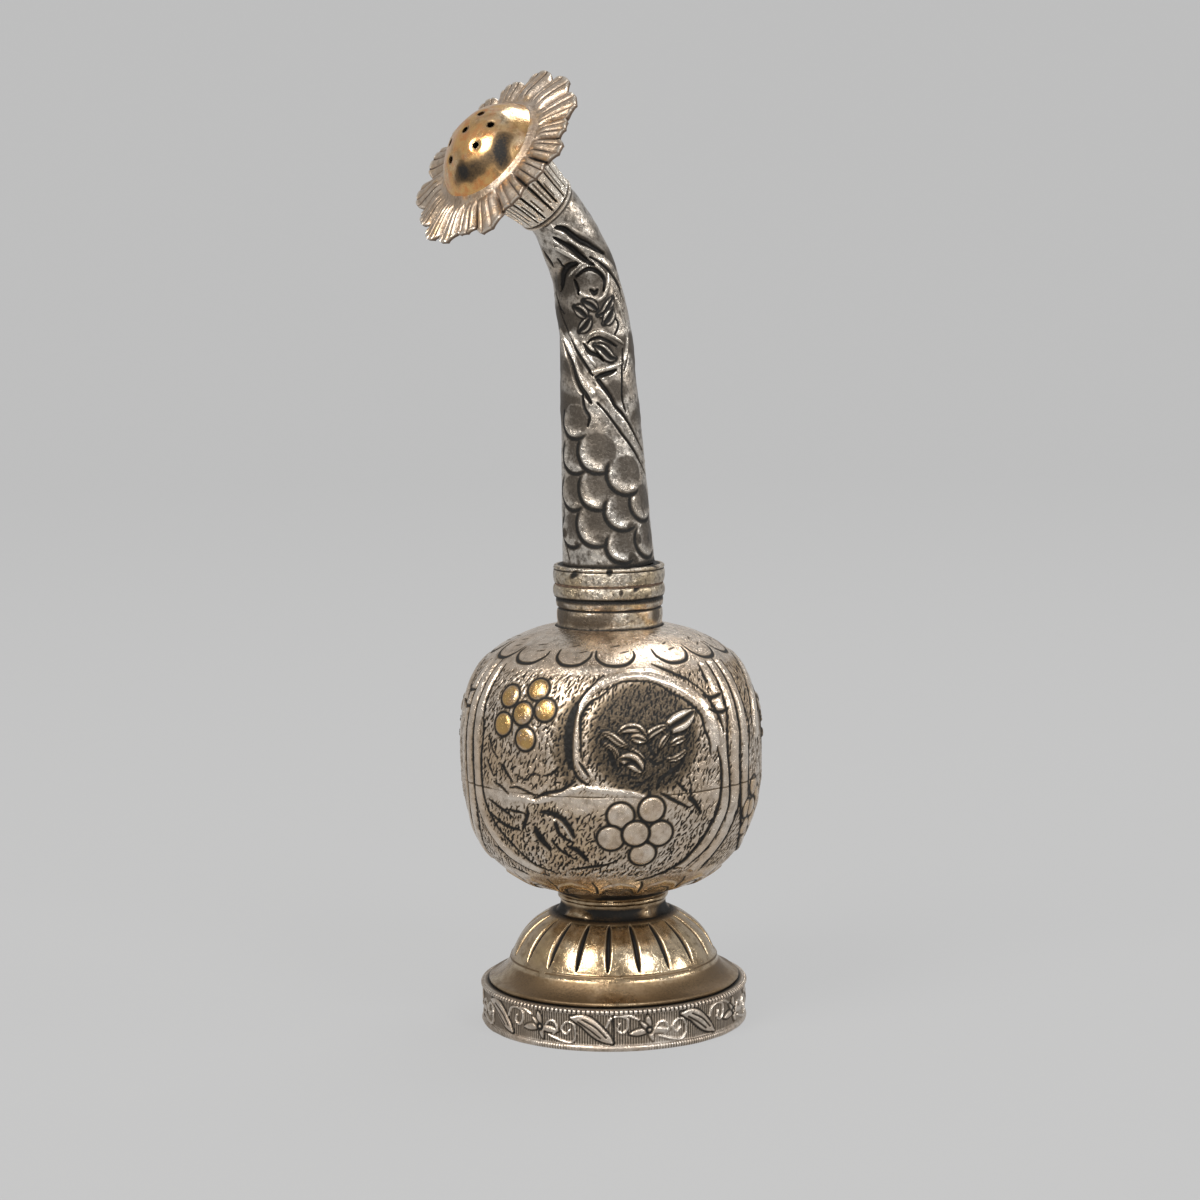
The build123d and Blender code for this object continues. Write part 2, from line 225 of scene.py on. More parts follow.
class Face:
    """The outer face of a sheet: a point for each angle round it and each length along it."""

    stretch: float = 0.3

    def place(self, angle: Array, along: Array) -> Array:
        """Points in millimetres.

        Args:
            angle: degrees round the axis, 0 at +X.
            along: millimetres along the sheet.

        Returns:
            One point for each pair.
        """
        raise NotImplementedError

    def normal(self, angle: Array, along: Array) -> Array:
        """Outward directions at the same places as place()."""
        turn, rise = 0.05, 0.004
        round_it = self.place(angle + turn, along) - self.place(angle - turn, along)
        up_it = self.place(angle, along + rise) - self.place(angle, along - rise)
        return unit(np.cross(round_it, up_it))


@dataclass
class HeadFrame:
    """A place and an axis that a turned piece is built about.

    Args:
        origin: the place, in millimetres.
        tilt: how far the axis leans from +Z towards -Y, in degrees.
    """

    origin: tuple[float, float, float] = (0.0, 0.0, 0.0)
    tilt: float = 0.0

    def out(self, points: Array) -> Array:
        """Points given about the axis, in the object's own frame."""
        lean = math.radians(self.tilt)
        across = np.array([1.0, 0.0, 0.0])
        axis = np.array([0.0, -math.sin(lean), math.cos(lean)])
        upward = np.cross(axis, across)
        local = np.array([across, upward, axis])
        return points @ local + np.array(self.origin)


class TurnedFace(Face):
    """A face turned about an axis from an outline of radius and height."""

    def __init__(self, outline: Array, about: HeadFrame | None = None) -> None:
        """Stores the outline.

        Args:
            outline: radius and height, one row each, so that its outside is on the right of its travel.
            about: where the axis is.
        """
        steps = np.linalg.norm(np.diff(outline, axis=0), axis=1)
        self.lengths = np.concatenate([[0], np.cumsum(steps)])
        self.outline = outline
        self.about = about or HeadFrame()
        self.stretch = math.radians(1) * float(outline[:, 0].mean())

    def place(self, angle: Array, along: Array) -> Array:
        """Points at an arc length along the outline, in millimetres."""
        radius = np.interp(along, self.lengths, self.outline[:, 0])
        height = np.interp(along, self.lengths, self.outline[:, 1])
        angle, radius, height = np.broadcast_arrays(np.radians(angle), radius, height)
        points = np.stack([radius * np.cos(angle), radius * np.sin(angle), height], -1)
        return self.about.out(points)

    def normal(self, angle: Array, along: Array) -> Array:
        """Outward directions, from a wider step than the outline's own points."""
        turn, rise = 0.2, 0.12
        last = self.lengths[-1]
        low, high = np.clip(along - rise, 0, last), np.clip(along + rise, 0, last)
        round_it = self.place(angle + turn, along) - self.place(angle - turn, along)
        return unit(np.cross(round_it, self.place(angle, high) - self.place(angle, low)))


class BellyFace(Face):
    """The belly's full, squarish oval. Lengths along it are heights from its widest line."""

    def __init__(self, radius: float, upper_half: float, lower_half: float, fullness: float,
                 middle: float) -> None:
        """Stores its sizes.

        Args:
            radius: at its widest line.
            upper_half: from that line to the oval's top.
            lower_half: from that line to the oval's foot.
            fullness: 2 is an ellipse, more is squarer.
            middle: the height of its widest line.
        """
        self.radius, self.upper_half, self.lower_half = radius, upper_half, lower_half
        self.fullness, self.middle = fullness, middle
        self.stretch = math.radians(radius)

    def place(self, angle: Array, along: Array) -> Array:
        """Points in millimetres, as for any face."""
        half = np.where(along > 0, self.upper_half, self.lower_half)
        share = np.clip(1 - (np.abs(along) / half) ** self.fullness, 0, 1)
        radius = self.radius * share ** (1 / self.fullness)
        angle, radius, height = np.broadcast_arrays(np.radians(angle), radius, along + self.middle)
        return np.stack([radius * np.cos(angle), radius * np.sin(angle), height], -1)

    def rows(self, low: float, high: float, count: int) -> Array:
        """Heights between two, evenly spaced along the face."""
        fine = np.linspace(low, high, 4000)
        line = self.place(np.zeros(1), fine)
        steps = np.linalg.norm(np.diff(line, axis=0), axis=1)
        lengths = np.concatenate([[0], np.cumsum(steps)])
        return np.interp(np.linspace(0, lengths[-1], count), lengths, fine)


class TubeFace(Face):
    """The spout's tube: a leaning straight taper, then a bend into the head's axis."""

    straight_samples: int = 60
    usual_radius: float = 8.5

    def __init__(self, base: Array, lean: Array, bend: Array, head: Array,
                 radii: tuple[float, float, float], shares: Path) -> None:
        """Samples the centre line.

        Args:
            base: the centre of its lower end.
            lean: from there to the bend.
            bend: the bend's further points, one row each.
            head: the direction at its upper end.
            radii: at the base, at the bend and at the tip.
            shares: place along the bend, and the share of its narrowing still to come.
        """
        run, count = np.linalg.norm(lean), self.straight_samples
        curve, lengths = self.spline(np.vstack([base + lean, bend]), lean / run, head)
        straight = base + lean * np.linspace(0, 1, count, endpoint=False)[:, None]
        self.centre = np.vstack([straight, curve])
        self.along = np.concatenate([np.linspace(0, run, count, endpoint=False), run + lengths])
        self.tangent = unit(np.gradient(self.centre, self.along, axis=0))
        bottom, shoulder, tip = radii
        narrowing = np.interp(lengths / lengths[-1], *np.array(shares).T)
        taper = bottom + (shoulder - bottom) * self.along[:count] / run
        self.radius = np.concatenate([taper, tip + (shoulder - tip) * narrowing])
        self.length = float(self.along[-1])
        self.stretch = math.radians(self.usual_radius)

    @staticmethod
    def spline(points: Array, start: Array, end: Array, samples: int = 220) -> tuple[Array, Array]:
        """A smooth curve through points, with given directions at its ends.

        Args:
            points: one row each.
            start: direction at the first.
            end: direction at the last.
            samples: how many samples.

        Returns:
            The samples and the length up to each.
        """
        knots = np.concatenate([[0], np.cumsum(np.linalg.norm(np.diff(points, axis=0), axis=1))])
        step = np.diff(knots)
        count = len(points)
        matrix, right = np.eye(count), np.zeros((count, 3))
        right[0], right[-1] = start, end
        for i in range(1, count - 1):
            before, after = step[i - 1], step[i]
            matrix[i, i - 1 : i + 2] = after, 2 * (before + after), before
            left_slope = (points[i] - points[i - 1]) / before
            right_slope = (points[i + 1] - points[i]) / after
            right[i] = 3 * (after * left_slope + before * right_slope)
        slope = np.linalg.solve(matrix, right)
        wanted = np.linspace(0, knots[-1], samples)
        index = np.clip(np.searchsorted(knots, wanted) - 1, 0, count - 2)
        u = ((wanted - knots[index]) / step[index])[:, None]
        reach = step[index][:, None]
        curve = (2 * u**3 - 3 * u**2 + 1) * points[index] + (3 * u**2 - 2 * u**3) * points[index + 1]
        curve += (u**3 - 2 * u**2 + u) * reach * slope[index] + (u**3 - u**2) * reach * slope[index + 1]
        steps = np.linalg.norm(np.diff(curve, axis=0), axis=1)
        return curve, np.concatenate([[0], np.cumsum(steps)])

    def place(self, angle: Array, along: Array) -> Array:
        """Points in millimetres, as for any face."""
        angle, along = np.broadcast_arrays(np.radians(angle), along)
        centre = np.stack([np.interp(along, self.along, self.centre[:, k]) for k in range(3)], -1)
        tangent = unit(np.stack([np.interp(along, self.along, self.tangent[:, k]) for k in range(3)], -1))
        across = np.array([1.0, 0.0, 0.0])
        upward = np.cross(tangent, across)
        radius = np.interp(along, self.along, self.radius)[..., None]
        return centre + radius * (np.cos(angle)[..., None] * across + np.sin(angle)[..., None] * upward)


class Chasing:
    """A sheet under the chaser's hammer: its grid, and the height and finish at each point."""

    scale_heading: float = math.radians(225.0)
    scale_height: float = 0.7

    def __init__(self, face: Face, columns: int, alongs: Array, seam: float = SEAM) -> None:
        """Lays the grid out.

        Args:
            face: the plain face.
            columns: how many points round it.
            alongs: the lengths along it, rising.
            seam: the angle where the columns start.
        """
        self.face, self.alongs = face, alongs
        self.step = FULL_TURN / columns
        self.seam = seam
        self.angles = seam + self.step * np.arange(columns)
        self.points = face.place(self.angles[None, :], alongs[:, None])
        self.normals = face.normal(self.angles[None, :], alongs[:, None])
        self.height, self.oxide, self.gilt, self.ground = np.zeros((4, *self.points.shape[:2]))

    def darken(self, oxide: Array) -> None:
        """Adds to the oxide mask wherever the new value is more than what is there; most callers add oxide,
        a few add painted shade.
        """
        self.oxide = np.maximum(self.oxide, oxide)

    def distance(self, angle: float, along: float) -> Array:
        """How far each point of the sheet lies from one spot on it."""
        return np.linalg.norm(self.points - self.face.place(np.array(angle), np.array(along)), axis=-1)

    def near(self, stroke: Stroke, reach: float) -> tuple[Array, Array]:
        """How near each point of the sheet is to a stroke.

        Args:
            stroke: the stroke.
            reach: how far to look, in millimetres.

        Returns:
            The distance of each point, and its place from 0 to 1 along the stroke.
        """
        line = smooth_curve(stroke.path, self.face.stretch)
        spots = self.face.place(line[:, 0], line[:, 1])
        distance = np.full(self.height.shape, np.inf)
        place = np.zeros(self.height.shape)
        last = max(1, len(line) - 1)
        columns = len(self.angles)
        for start in range(0, len(line), 30):
            piece = slice(start, start + 31)
            low, high = line[piece, 1].min() - reach, line[piece, 1].max() + reach
            rows = slice(*np.searchsorted(self.alongs, [low, high]))
            if rows.stop <= rows.start:
                continue
            pad = reach / self.face.stretch * 1.6
            first = math.floor((line[piece, 0].min() - pad - self.seam) / self.step)
            final = math.ceil((line[piece, 0].max() + pad - self.seam) / self.step)
            wanted = np.unique(np.arange(first, final + 1) % columns)
            window = self.points[rows][:, wanted]
            offsets = window[:, :, None, :] - spots[piece][None, None, :, :]
            squared = np.einsum("rcjk,rcjk->rcj", offsets, offsets)
            nearest = squared.argmin(2)
            found = np.sqrt(np.take_along_axis(squared, nearest[..., None], 2)[..., 0])
            held = distance[rows][:, wanted]
            better = found < held
            distance[rows, wanted] = np.where(better, found, held)
            here = place[rows][:, wanted]
            place[rows, wanted] = np.where(better, (start + nearest) / last, here)
        return distance, place

    def cut(self, stroke: Stroke, dark: float = 1.0, lip: float = 0.18) -> None:
        """Drives the liner along a stroke, which sinks a groove and throws up a burred lip.

        Args:
            stroke: the groove.
            dark: how much oxide lies in it.
            lip: the lip's height as a share of the depth.
        """
        distance, place = self.near(stroke, stroke.width * 2.2 + 0.3)
        half = np.maximum(stroke.width * 0.5 * stroke.share(place), 0.2)
        across = distance / half
        groove = np.exp(-np.minimum(across, 9) ** 2.4)
        edge = bell(np.minimum(across, 9), 1.75, 0.5)
        self.height += stroke.depth * (lip * edge - groove)
        self.darken(dark * np.exp(-(np.minimum(across, 9) / 1.12) ** 3))

    def raise_band(self, stroke: Stroke, gilt: float = 0.0, flat: float = 0.45) -> None:
        """Raises a rounded rib along a stroke.

        Args:
            stroke: the rib.
            gilt: how much of its gilding is left.
            flat: the share of its half width that is flat.
        """
        distance, place = self.near(stroke, stroke.width * 0.5 + 0.6)
        half = np.maximum(stroke.width * 0.5 * stroke.share(place), 0.25)
        inside = 1 - ramp(flat, 1.08, distance / half)
        self.height = np.maximum(self.height, stroke.depth * inside)
        self.ground *= 1 - np.clip(inside * 3, 0, 1)
        self.oxide *= 1 - 0.9 * inside
        self.gilt = np.maximum(self.gilt, gilt * inside)

    def raise_leaf(self, stroke: Stroke, outline: float = 0.9) -> None:
        """Raises a pointed leaf, with a line cut round it.

        Args:
            stroke: the leaf's middle line, with its greatest width.
            outline: how dark the line round it is.
        """
        distance, place = self.near(stroke, stroke.width * 0.5 + 0.9)
        half = stroke.width * 0.5 * np.sqrt(np.clip(np.sin(math.pi * np.clip(place, 0.02, 0.98)), 0, 1))
        across = distance / np.maximum(half, 0.12)
        near = np.isfinite(across)
        swell = np.where(near, np.sqrt(np.clip(1 - np.minimum(across, 9) ** 2, 0, 1)), 0)
        self.height = np.maximum(self.height, stroke.depth * swell)
        self.ground *= 1 - np.clip(swell * 3, 0, 1)
        self.oxide *= 1 - 0.9 * np.clip(swell * 1.6, 0, 1)
        gap = np.minimum(distance, 9) - half
        line = bell(gap, 0.12, 0.26) * near
        self.height -= 0.2 * line * outline
        self.darken(outline * line)

    def raise_bead(self, angle: float, along: float, radius: float, height: float,
                   gilt: float = 0.0) -> None:
        """Raises a round boss with a ring cut round it.

        Args:
            angle: its centre's angle.
            along: its centre's length along.
            radius: of the boss.
            height: of the boss.
            gilt: how much of its gilding is left.
        """
        distance = self.distance(angle, along)
        inside = np.clip(1 - (distance / radius) ** 2, 0, 1)
        self.height = np.where(inside > 0, np.maximum(self.height, height * inside**0.6), self.height)
        ring = bell(distance - radius, 0.06, 0.34)
        self.height -= 0.42 * ring
        self.oxide = np.maximum(self.oxide * (1 - np.clip(inside * 4, 0, 1)), ring)
        self.ground *= 1 - np.clip(inside * 6 + ring, 0, 1)
        self.gilt = np.maximum(self.gilt, gilt * np.clip(inside * 4, 0, 1))

    def raise_scale(self, angle: float, along: float, radius: float) -> None:
        """Raises one overlapping scale, high at its lip and dying away behind it, with painted shade over
        its low middle and back.

        Args:
            angle: its centre's angle.
            along: its centre's length along.
            radius: of the scale.
        """
        centre, beside, above = (self.face.place(np.array(angle + turn), np.array(along + rise))
                                 for turn, rise in ((0.0, 0.0), (1.0, 0.0), (0.0, 0.1)))
        offset = self.points - centre
        distance = np.linalg.norm(offset, axis=-1)
        across, upward = offset @ unit(beside - centre), offset @ unit(above - centre)
        lead = self.scale_heading
        forward = (across * math.cos(lead) + upward * math.sin(lead)) / np.maximum(distance, 0.05)
        facing = np.clip((forward + 0.35) / 1.35, 0, 1)
        inside = 1 - ramp(0.86, 1.04, distance / radius)
        dish = np.clip(distance / radius, 0, 1) ** 2 * facing
        lifted = self.height * (1 - inside) + inside * (self.scale_height * dish - 0.12)
        self.height = np.where(inside > 0.02, lifted, self.height)
        self.oxide *= 1 - inside * 0.9
        # painted shade: the scale's low middle and back are darkened into the oxide mask, and its lip is
        # left light
        shade = inside * np.clip(1 - dish * 2.0, 0, 1) * 0.42
        crescent = bell(distance - radius, 0.42, 0.5) * ramp(0.05, 0.6, facing)
        self.height -= 0.7 * crescent
        self.darken(np.maximum(crescent, shade))

    def stipple(self, pitch: float, depth: float, lean: float, seed: int, dark: float) -> None:
        """Fills the ground with short blows of a matting tool.

        Args:
            pitch: the space between blows.
            depth: of each blow.
            lean: the blows' angle on the sheet, in degrees.
            seed: which scatter.
            dark: how much oxide lies in them.
        """
        random = np.random.default_rng(seed)
        across = (self.angles - self.seam)[None, :] * self.face.stretch / pitch
        steps = np.linalg.norm(np.diff(self.points[:, 0], axis=0), axis=1)
        upward = np.concatenate([[0], np.cumsum(steps)])[:, None] / (pitch * 1.05)
        across, upward = np.broadcast_arrays(across, upward)
        wide, tall = int(across.max()) + 3, int(upward.max()) + 3
        jitter = random.uniform(0.1, 0.9, (tall, wide, 2))
        turn = np.radians(lean) + random.normal(0, 0.3, (tall, wide))
        force = random.uniform(0.35, 1.0, (tall, wide))
        length = random.uniform(0.25, 0.6, (tall, wide))
        marks = np.zeros(self.height.shape)
        for row in (-1, 0, 1):
            for column in (-1, 0, 1):
                cell_u, cell_v = np.floor(across).astype(int) + column, np.floor(upward).astype(int) + row
                i, j = cell_v % tall, cell_u % wide
                du = across - cell_u - jitter[i, j, 0]
                dv = upward - cell_v - jitter[i, j, 1]
                run = du * np.cos(turn[i, j]) + dv * np.sin(turn[i, j])
                side = dv * np.cos(turn[i, j]) - du * np.sin(turn[i, j])
                over = np.maximum(np.abs(run) - length[i, j], 0)
                marks = np.maximum(marks, force[i, j] * np.exp(-(side**2 + over**2) / 0.055))
        marks *= np.clip(self.ground, 0, 1)
        self.height -= depth * marks
        self.darken(dark * ramp(0.18, 0.72, marks) * np.clip(self.ground, 0, 1))

    def patch(self, low: float, high: float, size: float, seed: int) -> Array:
        """Soft patches of a size, 0 where their pattern is under the low mark and 1 over the high one."""
        return ramp(low, high, ripple(self.points, size, seed))

    def hammer(self, size: float, depth: float, seed: int) -> None:
        """Leaves the slow unevenness of the raising hammer."""
        self.height += depth * ripple(self.points, size, seed)

    def shade(self, passes: int, strength: float) -> None:
        """Lets oxide settle wherever the sheet lies lower than what is round it."""
        hollow = blurred(self.height, passes) - self.height
        self.oxide = np.clip(self.oxide + strength * np.clip(hollow, 0, 1) * (1 - self.oxide), 0, 1)

    def sheet(self, name: str, wall: float, inner_rows: int, sink: float = 0.0) -> Piece:
        """The finished sheet with its inner face, as a closed mesh.

        Args:
            name: of the piece.
            wall: the sheet's thickness.
            inner_rows: how many rows the inner face has.
            sink: how far the plain face lies under the face's own line.

        Returns:
            The piece.
        """
        outer = self.points + self.normals * (self.height - sink)[..., None]
        picks = np.linspace(len(self.alongs) - 1, 0, inner_rows).round().astype(int)
        inner = self.points[picks] - self.normals[picks] * wall
        proud = self.height - blurred(self.height, 10)
        masks = {
            Mask.OXIDE: self.oxide,
            Mask.RUB: np.clip(proud * 3.2, 0, 1) * (1 - self.oxide),
            Mask.GILT: self.gilt,
            Mask.GROUND: self.ground,
        }
        behind = even_oxide(inner, 0.75)
        filled = {mask: np.vstack([values, behind[mask]]) for mask, values in masks.items()}
        return closed_sheet(name, np.concatenate([outer, inner]), filled)


def even_oxide(rings: Array, oxide: float) -> dict[Mask, Array]:
    """The masks of rings of points that carry an even coat of oxide and nothing else."""
    return {mask: np.full(rings.shape[:2], oxide if mask is Mask.OXIDE else 0.0) for mask in Mask}


def placed(name: str, data: bpy.types.ID) -> Piece:
    """A new object in the scene."""
    made = bpy.data.objects.new(name, data)
    bpy.context.scene.collection.objects.link(made)
    return made


def closed_sheet(name: str, rings: Array, masks: dict[Mask, Array]) -> Piece:
    """A mesh of rings joined in order, the last to the first.

    Args:
        name: of the piece.
        rings: rings by points by 3, in millimetres.
        masks: a value for each point, by mask.

    Returns:
        The piece, smooth but for its sharp corners.
    """
    rows, columns = rings.shape[:2]
    index = np.arange(rows * columns).reshape(rows, columns)
    above, right = np.roll(index, -1, 0), np.roll(index, -1, 1)
    corner = np.roll(above, -1, 1)
    faces = np.stack([index, right, corner, above], -1).reshape(-1, 4)
    mesh = bpy.data.meshes.new(name)
    mesh.vertices.add(rows * columns)
    mesh.vertices.foreach_set("co", (rings * MM).astype(np.float32).ravel())
    mesh.loops.add(faces.size)
    mesh.loops.foreach_set("vertex_index", faces.ravel().astype(np.int32))
    mesh.polygons.add(len(faces))
    mesh.polygons.foreach_set("loop_start", np.arange(0, faces.size, 4, dtype=np.int32))
    mesh.update(calc_edges=True)
    mesh.polygons.foreach_set("use_smooth", np.ones(len(faces), bool))
    mesh.set_sharp_from_angle(angle=SHARP_EDGE)
    for mask, values in masks.items():
        layer = mesh.attributes.new(mask.value, "FLOAT", "POINT")
        layer.data.foreach_set("value", np.clip(values, 0, 1).astype(np.float32).ravel())
    return placed(name, mesh)


class Group:
    """A shader node group under construction."""

    def __init__(self, name: str, inputs: dict[str, str], outputs: dict[str, str]) -> None:
        """Makes the group and its sockets.

        Args:
            name: of the group.
            inputs: socket type by name.
            outputs: socket type by name.
        """
        self.tree = bpy.data.node_groups.new(name, "ShaderNodeTree")
        for side, sockets in (("INPUT", inputs), ("OUTPUT", outputs)):
            for label, kind in sockets.items():
                self.tree.interface.new_socket(label, in_out=side, socket_type=f"NodeSocket{kind}")
        self.given = self.tree.nodes.new("NodeGroupInput").outputs
        self.result = self.tree.nodes.new("NodeGroupOutput").inputs
        self.wires = Wires(self.tree)


class Wires:
    """Short ways to add nodes to a tree and join them."""

    def __init__(self, tree: bpy.types.NodeTree) -> None:
        """Keeps the tree."""
        self.tree = tree

    def join(self, value: object, socket: Socket) -> None:
        """Links an output to a socket, or sets the socket's own value."""
        if isinstance(value, Socket):
            self.tree.links.new(value, socket)
        elif isinstance(value, tuple) and len(value) == 3 and socket.type == "RGBA":
            socket.default_value = (*value, 1.0)
        else:
            socket.default_value = value

    def node(self, kind: str, inputs: dict[str | int, object], **settings: object) -> bpy.types.Node:
        """Adds a node.

        Args:
            kind: the node's type.
            inputs: an output or a value for each of its sockets.
            settings: its own properties.

        Returns:
            The node.
        """
        made = self.tree.nodes.new(kind)
        for key, value in settings.items():
            setattr(made, key, value)
        for key, value in inputs.items():
            self.join(value, made.inputs[key])
        return made

    def maths(self, operation: str, *values: object) -> Socket:
        """One sum of two or three values."""
        return self.node("ShaderNodeMath", dict(enumerate(values)), operation=operation).outputs[0]

    def clamp(self, value: object, low: object, high: object) -> Socket:
        """A value's place between two others, kept from 0 to 1."""
        inputs = {"Value": value, "From Min": low, "From Max": high}
        made = self.node("ShaderNodeMapRange", inputs, interpolation_type="SMOOTHSTEP")
        return made.outputs["Result"]

    def noise(self, vector: object, scale: object, detail: float = 3.0, rough: float = 0.55) -> Socket:
        """Noise of a scale in features to the metre."""
        inputs = {"Vector": vector, "Scale": scale, "Detail": detail, "Roughness": rough}
        return self.node("ShaderNodeTexNoise", inputs).outputs["Fac"]

    def mix(self, share: object, first: object, second: object) -> Socket:
        """A colour between two."""
        return self.node("ShaderNodeMix", {0: share, 6: first, 7: second}, data_type="RGBA").outputs[2]

    def attribute(self, mask: Mask) -> Socket:
        """A mask stored on the mesh."""
        return self.node("ShaderNodeAttribute", {}, attribute_name=mask.value).outputs["Fac"]


class Effects:
    """The effects that the metals share, each built once as a node group."""

    _made: dict[str, bpy.types.NodeTree] = {}
    # How many features of each kind there are to the metre
    SPECK, WORN, COPPERY, SMEAR = 2600.0, 240.0, 520.0, 420.0
    PITS, SWELL, GRAIN, SCRATCH = 1500.0, 330.0, 3600.0, 2900.0

    @classmethod
    def get(cls, name: str) -> bpy.types.NodeTree:
        """The group of this name, built the first time that it is asked for."""
        if name not in cls._made:
            cls._made[name] = getattr(cls, f"_{name}")()
        return cls._made[name]

    @classmethod
    def _tarnish(cls) -> bpy.types.NodeTree:
        """Old oxide: black in the recesses, brown where it thins, worn off what stands proud; the oxide
        mask that feeds it also brings painted shade in a few places.
        """
        group = Group(
            "tarnish",
            {"Vector": "Vector", "Oxide": "Float", "Rub": "Float", "Cover": "Float", "Patch Scale": "Float",
             "Light": "Color", "Warm": "Color", "Edge": "Color", "Brown": "Color", "Black": "Color"},
            {"Color": "Color", "Mask": "Float"},
        )
        wires, given = group.wires, group.given
        broad = wires.noise(given["Vector"], given["Patch Scale"], 4.0, 0.6)
        small = wires.noise(given["Vector"], wires.maths("MULTIPLY", given["Patch Scale"], 7.3), 5.0, 0.65)
        speck = wires.noise(given["Vector"], cls.SPECK, 2.0, 0.6)
        cast = wires.clamp(broad, 0.38, 0.62)
        clean = wires.mix(cast, given["Light"], given["Warm"])
        keen = wires.maths("MULTIPLY", wires.clamp(given["Rub"], 0.1, 0.9), 0.6)
        clean = wires.mix(keen, clean, given["Edge"])
        film = wires.maths("MULTIPLY", wires.clamp(small, 0.42, 0.72), given["Cover"])
        film = wires.maths("MULTIPLY", film, wires.maths("MULTIPLY_ADD", given["Rub"], -0.8, 1.0))
        thin = wires.maths("ADD", film, wires.clamp(given["Oxide"], 0.04, 0.5))
        thin = wires.maths("MINIMUM", thin, 1.0)
        browned = wires.mix(thin, clean, given["Brown"])
        frayed = wires.maths("MULTIPLY_ADD", speck, 0.5, -0.25)
        deep = wires.clamp(wires.maths("ADD", given["Oxide"], frayed), 0.38, 0.82)
        wires.join(wires.mix(deep, browned, given["Black"]), group.result["Color"])
        wires.join(wires.maths("MAXIMUM", wires.maths("MULTIPLY", thin, 0.6), deep), group.result["Mask"])
        return group.tree

    @classmethod
    def _gilding(cls) -> bpy.types.NodeTree:
        """Thin gold left on the high forms, and what shows through where it has gone."""
        group = Group(
            "gilding",
            {"Vector": "Vector", "Gilt": "Float", "Wear": "Float", "Under": "Color", "Gold": "Color",
             "Copper": "Color"},
            {"Color": "Color"},
        )
        wires, given = group.wires, group.given
        patch = wires.noise(given["Vector"], cls.WORN, 4.0, 0.6)
        held = wires.clamp(wires.maths("SUBTRACT", patch, given["Wear"]), -0.12, 0.12)
        redder = wires.clamp(wires.noise(given["Vector"], cls.COPPERY), 0.4, 0.68)
        tone = wires.mix(redder, given["Gold"], given["Copper"])
        share = wires.maths("MULTIPLY", held, given["Gilt"])
        wires.join(wires.mix(share, given["Under"], tone), group.result["Color"])
        return group.tree

    @classmethod
    def _polish(cls) -> bpy.types.NodeTree:
        """Roughness from bright rubbed edges to dull oxide, broken by fine scratches."""
        group = Group(
            "polish",
            {"Vector": "Vector", "Mask": "Float", "Rub": "Float", "Bright": "Float", "Dull": "Float"},
            {"Roughness": "Float"},
        )
        wires, given = group.wires, group.given
        smear = wires.noise(given["Vector"], cls.SMEAR, 4.0, 0.6)
        spread = wires.maths("MULTIPLY_ADD", wires.maths("SUBTRACT", smear, 0.5), 0.28, given["Bright"])
        keen = wires.maths("SUBTRACT", spread, wires.maths("MULTIPLY", given["Rub"], 0.07))
        fall = wires.maths("SUBTRACT", given["Dull"], keen)
        total = wires.maths("MULTIPLY_ADD", fall, given["Mask"], keen)
        wires.join(wires.maths("MAXIMUM", total, 0.08), group.result["Roughness"])
        return group.tree

    @classmethod
    def _pitting(cls) -> bpy.types.NodeTree:
        """Heights of fine pits, file marks and the matted ground."""
        group = Group(
            "pitting",
            {"Vector": "Vector", "Ground": "Float", "Pits": "Float", "Scratches": "Float"},
            {"Height": "Float"},
        )
        wires, given = group.wires, group.given
        pits = wires.clamp(wires.noise(given["Vector"], cls.PITS, 3.0, 0.6), 0.3, 0.5)
        swell = wires.noise(given["Vector"], cls.SWELL, 2.0, 0.5)
        grain = wires.noise(given["Vector"], cls.GRAIN, 2.0, 0.5)
        stretched = wires.node("ShaderNodeMapping", {"Vector": given["Vector"], "Scale": (1.0, 1.0, 0.12)})
        stretched.inputs["Rotation"].default_value = (0.5, 0.35, 0.2)
        scratch = wires.noise(stretched.outputs[0], cls.SCRATCH, 2.0, 0.6)
        height = wires.maths("MULTIPLY", pits, given["Pits"])
        height = wires.maths("ADD", height, wires.maths("MULTIPLY", scratch, given["Scratches"]))
        height = wires.maths("ADD", height, wires.maths("MULTIPLY", swell, 0.9))
        matted = wires.maths("MULTIPLY", grain, wires.maths("MULTIPLY", given["Ground"], 0.6))
        wires.join(wires.maths("ADD", height, matted), group.result["Height"])
        return group.tree


def new_material(name: str) -> tuple[bpy.types.Material, Wires, bpy.types.Node, Socket]:
    """A new material, its wires, its shader and the coordinates of the object that it is on."""
    material = bpy.data.materials.new(name)
    material.use_nodes = True
    wires = Wires(material.node_tree)
    where = wires.node("ShaderNodeTexCoord", {}).outputs["Object"]
    return material, wires, material.node_tree.nodes["Principled BSDF"], where


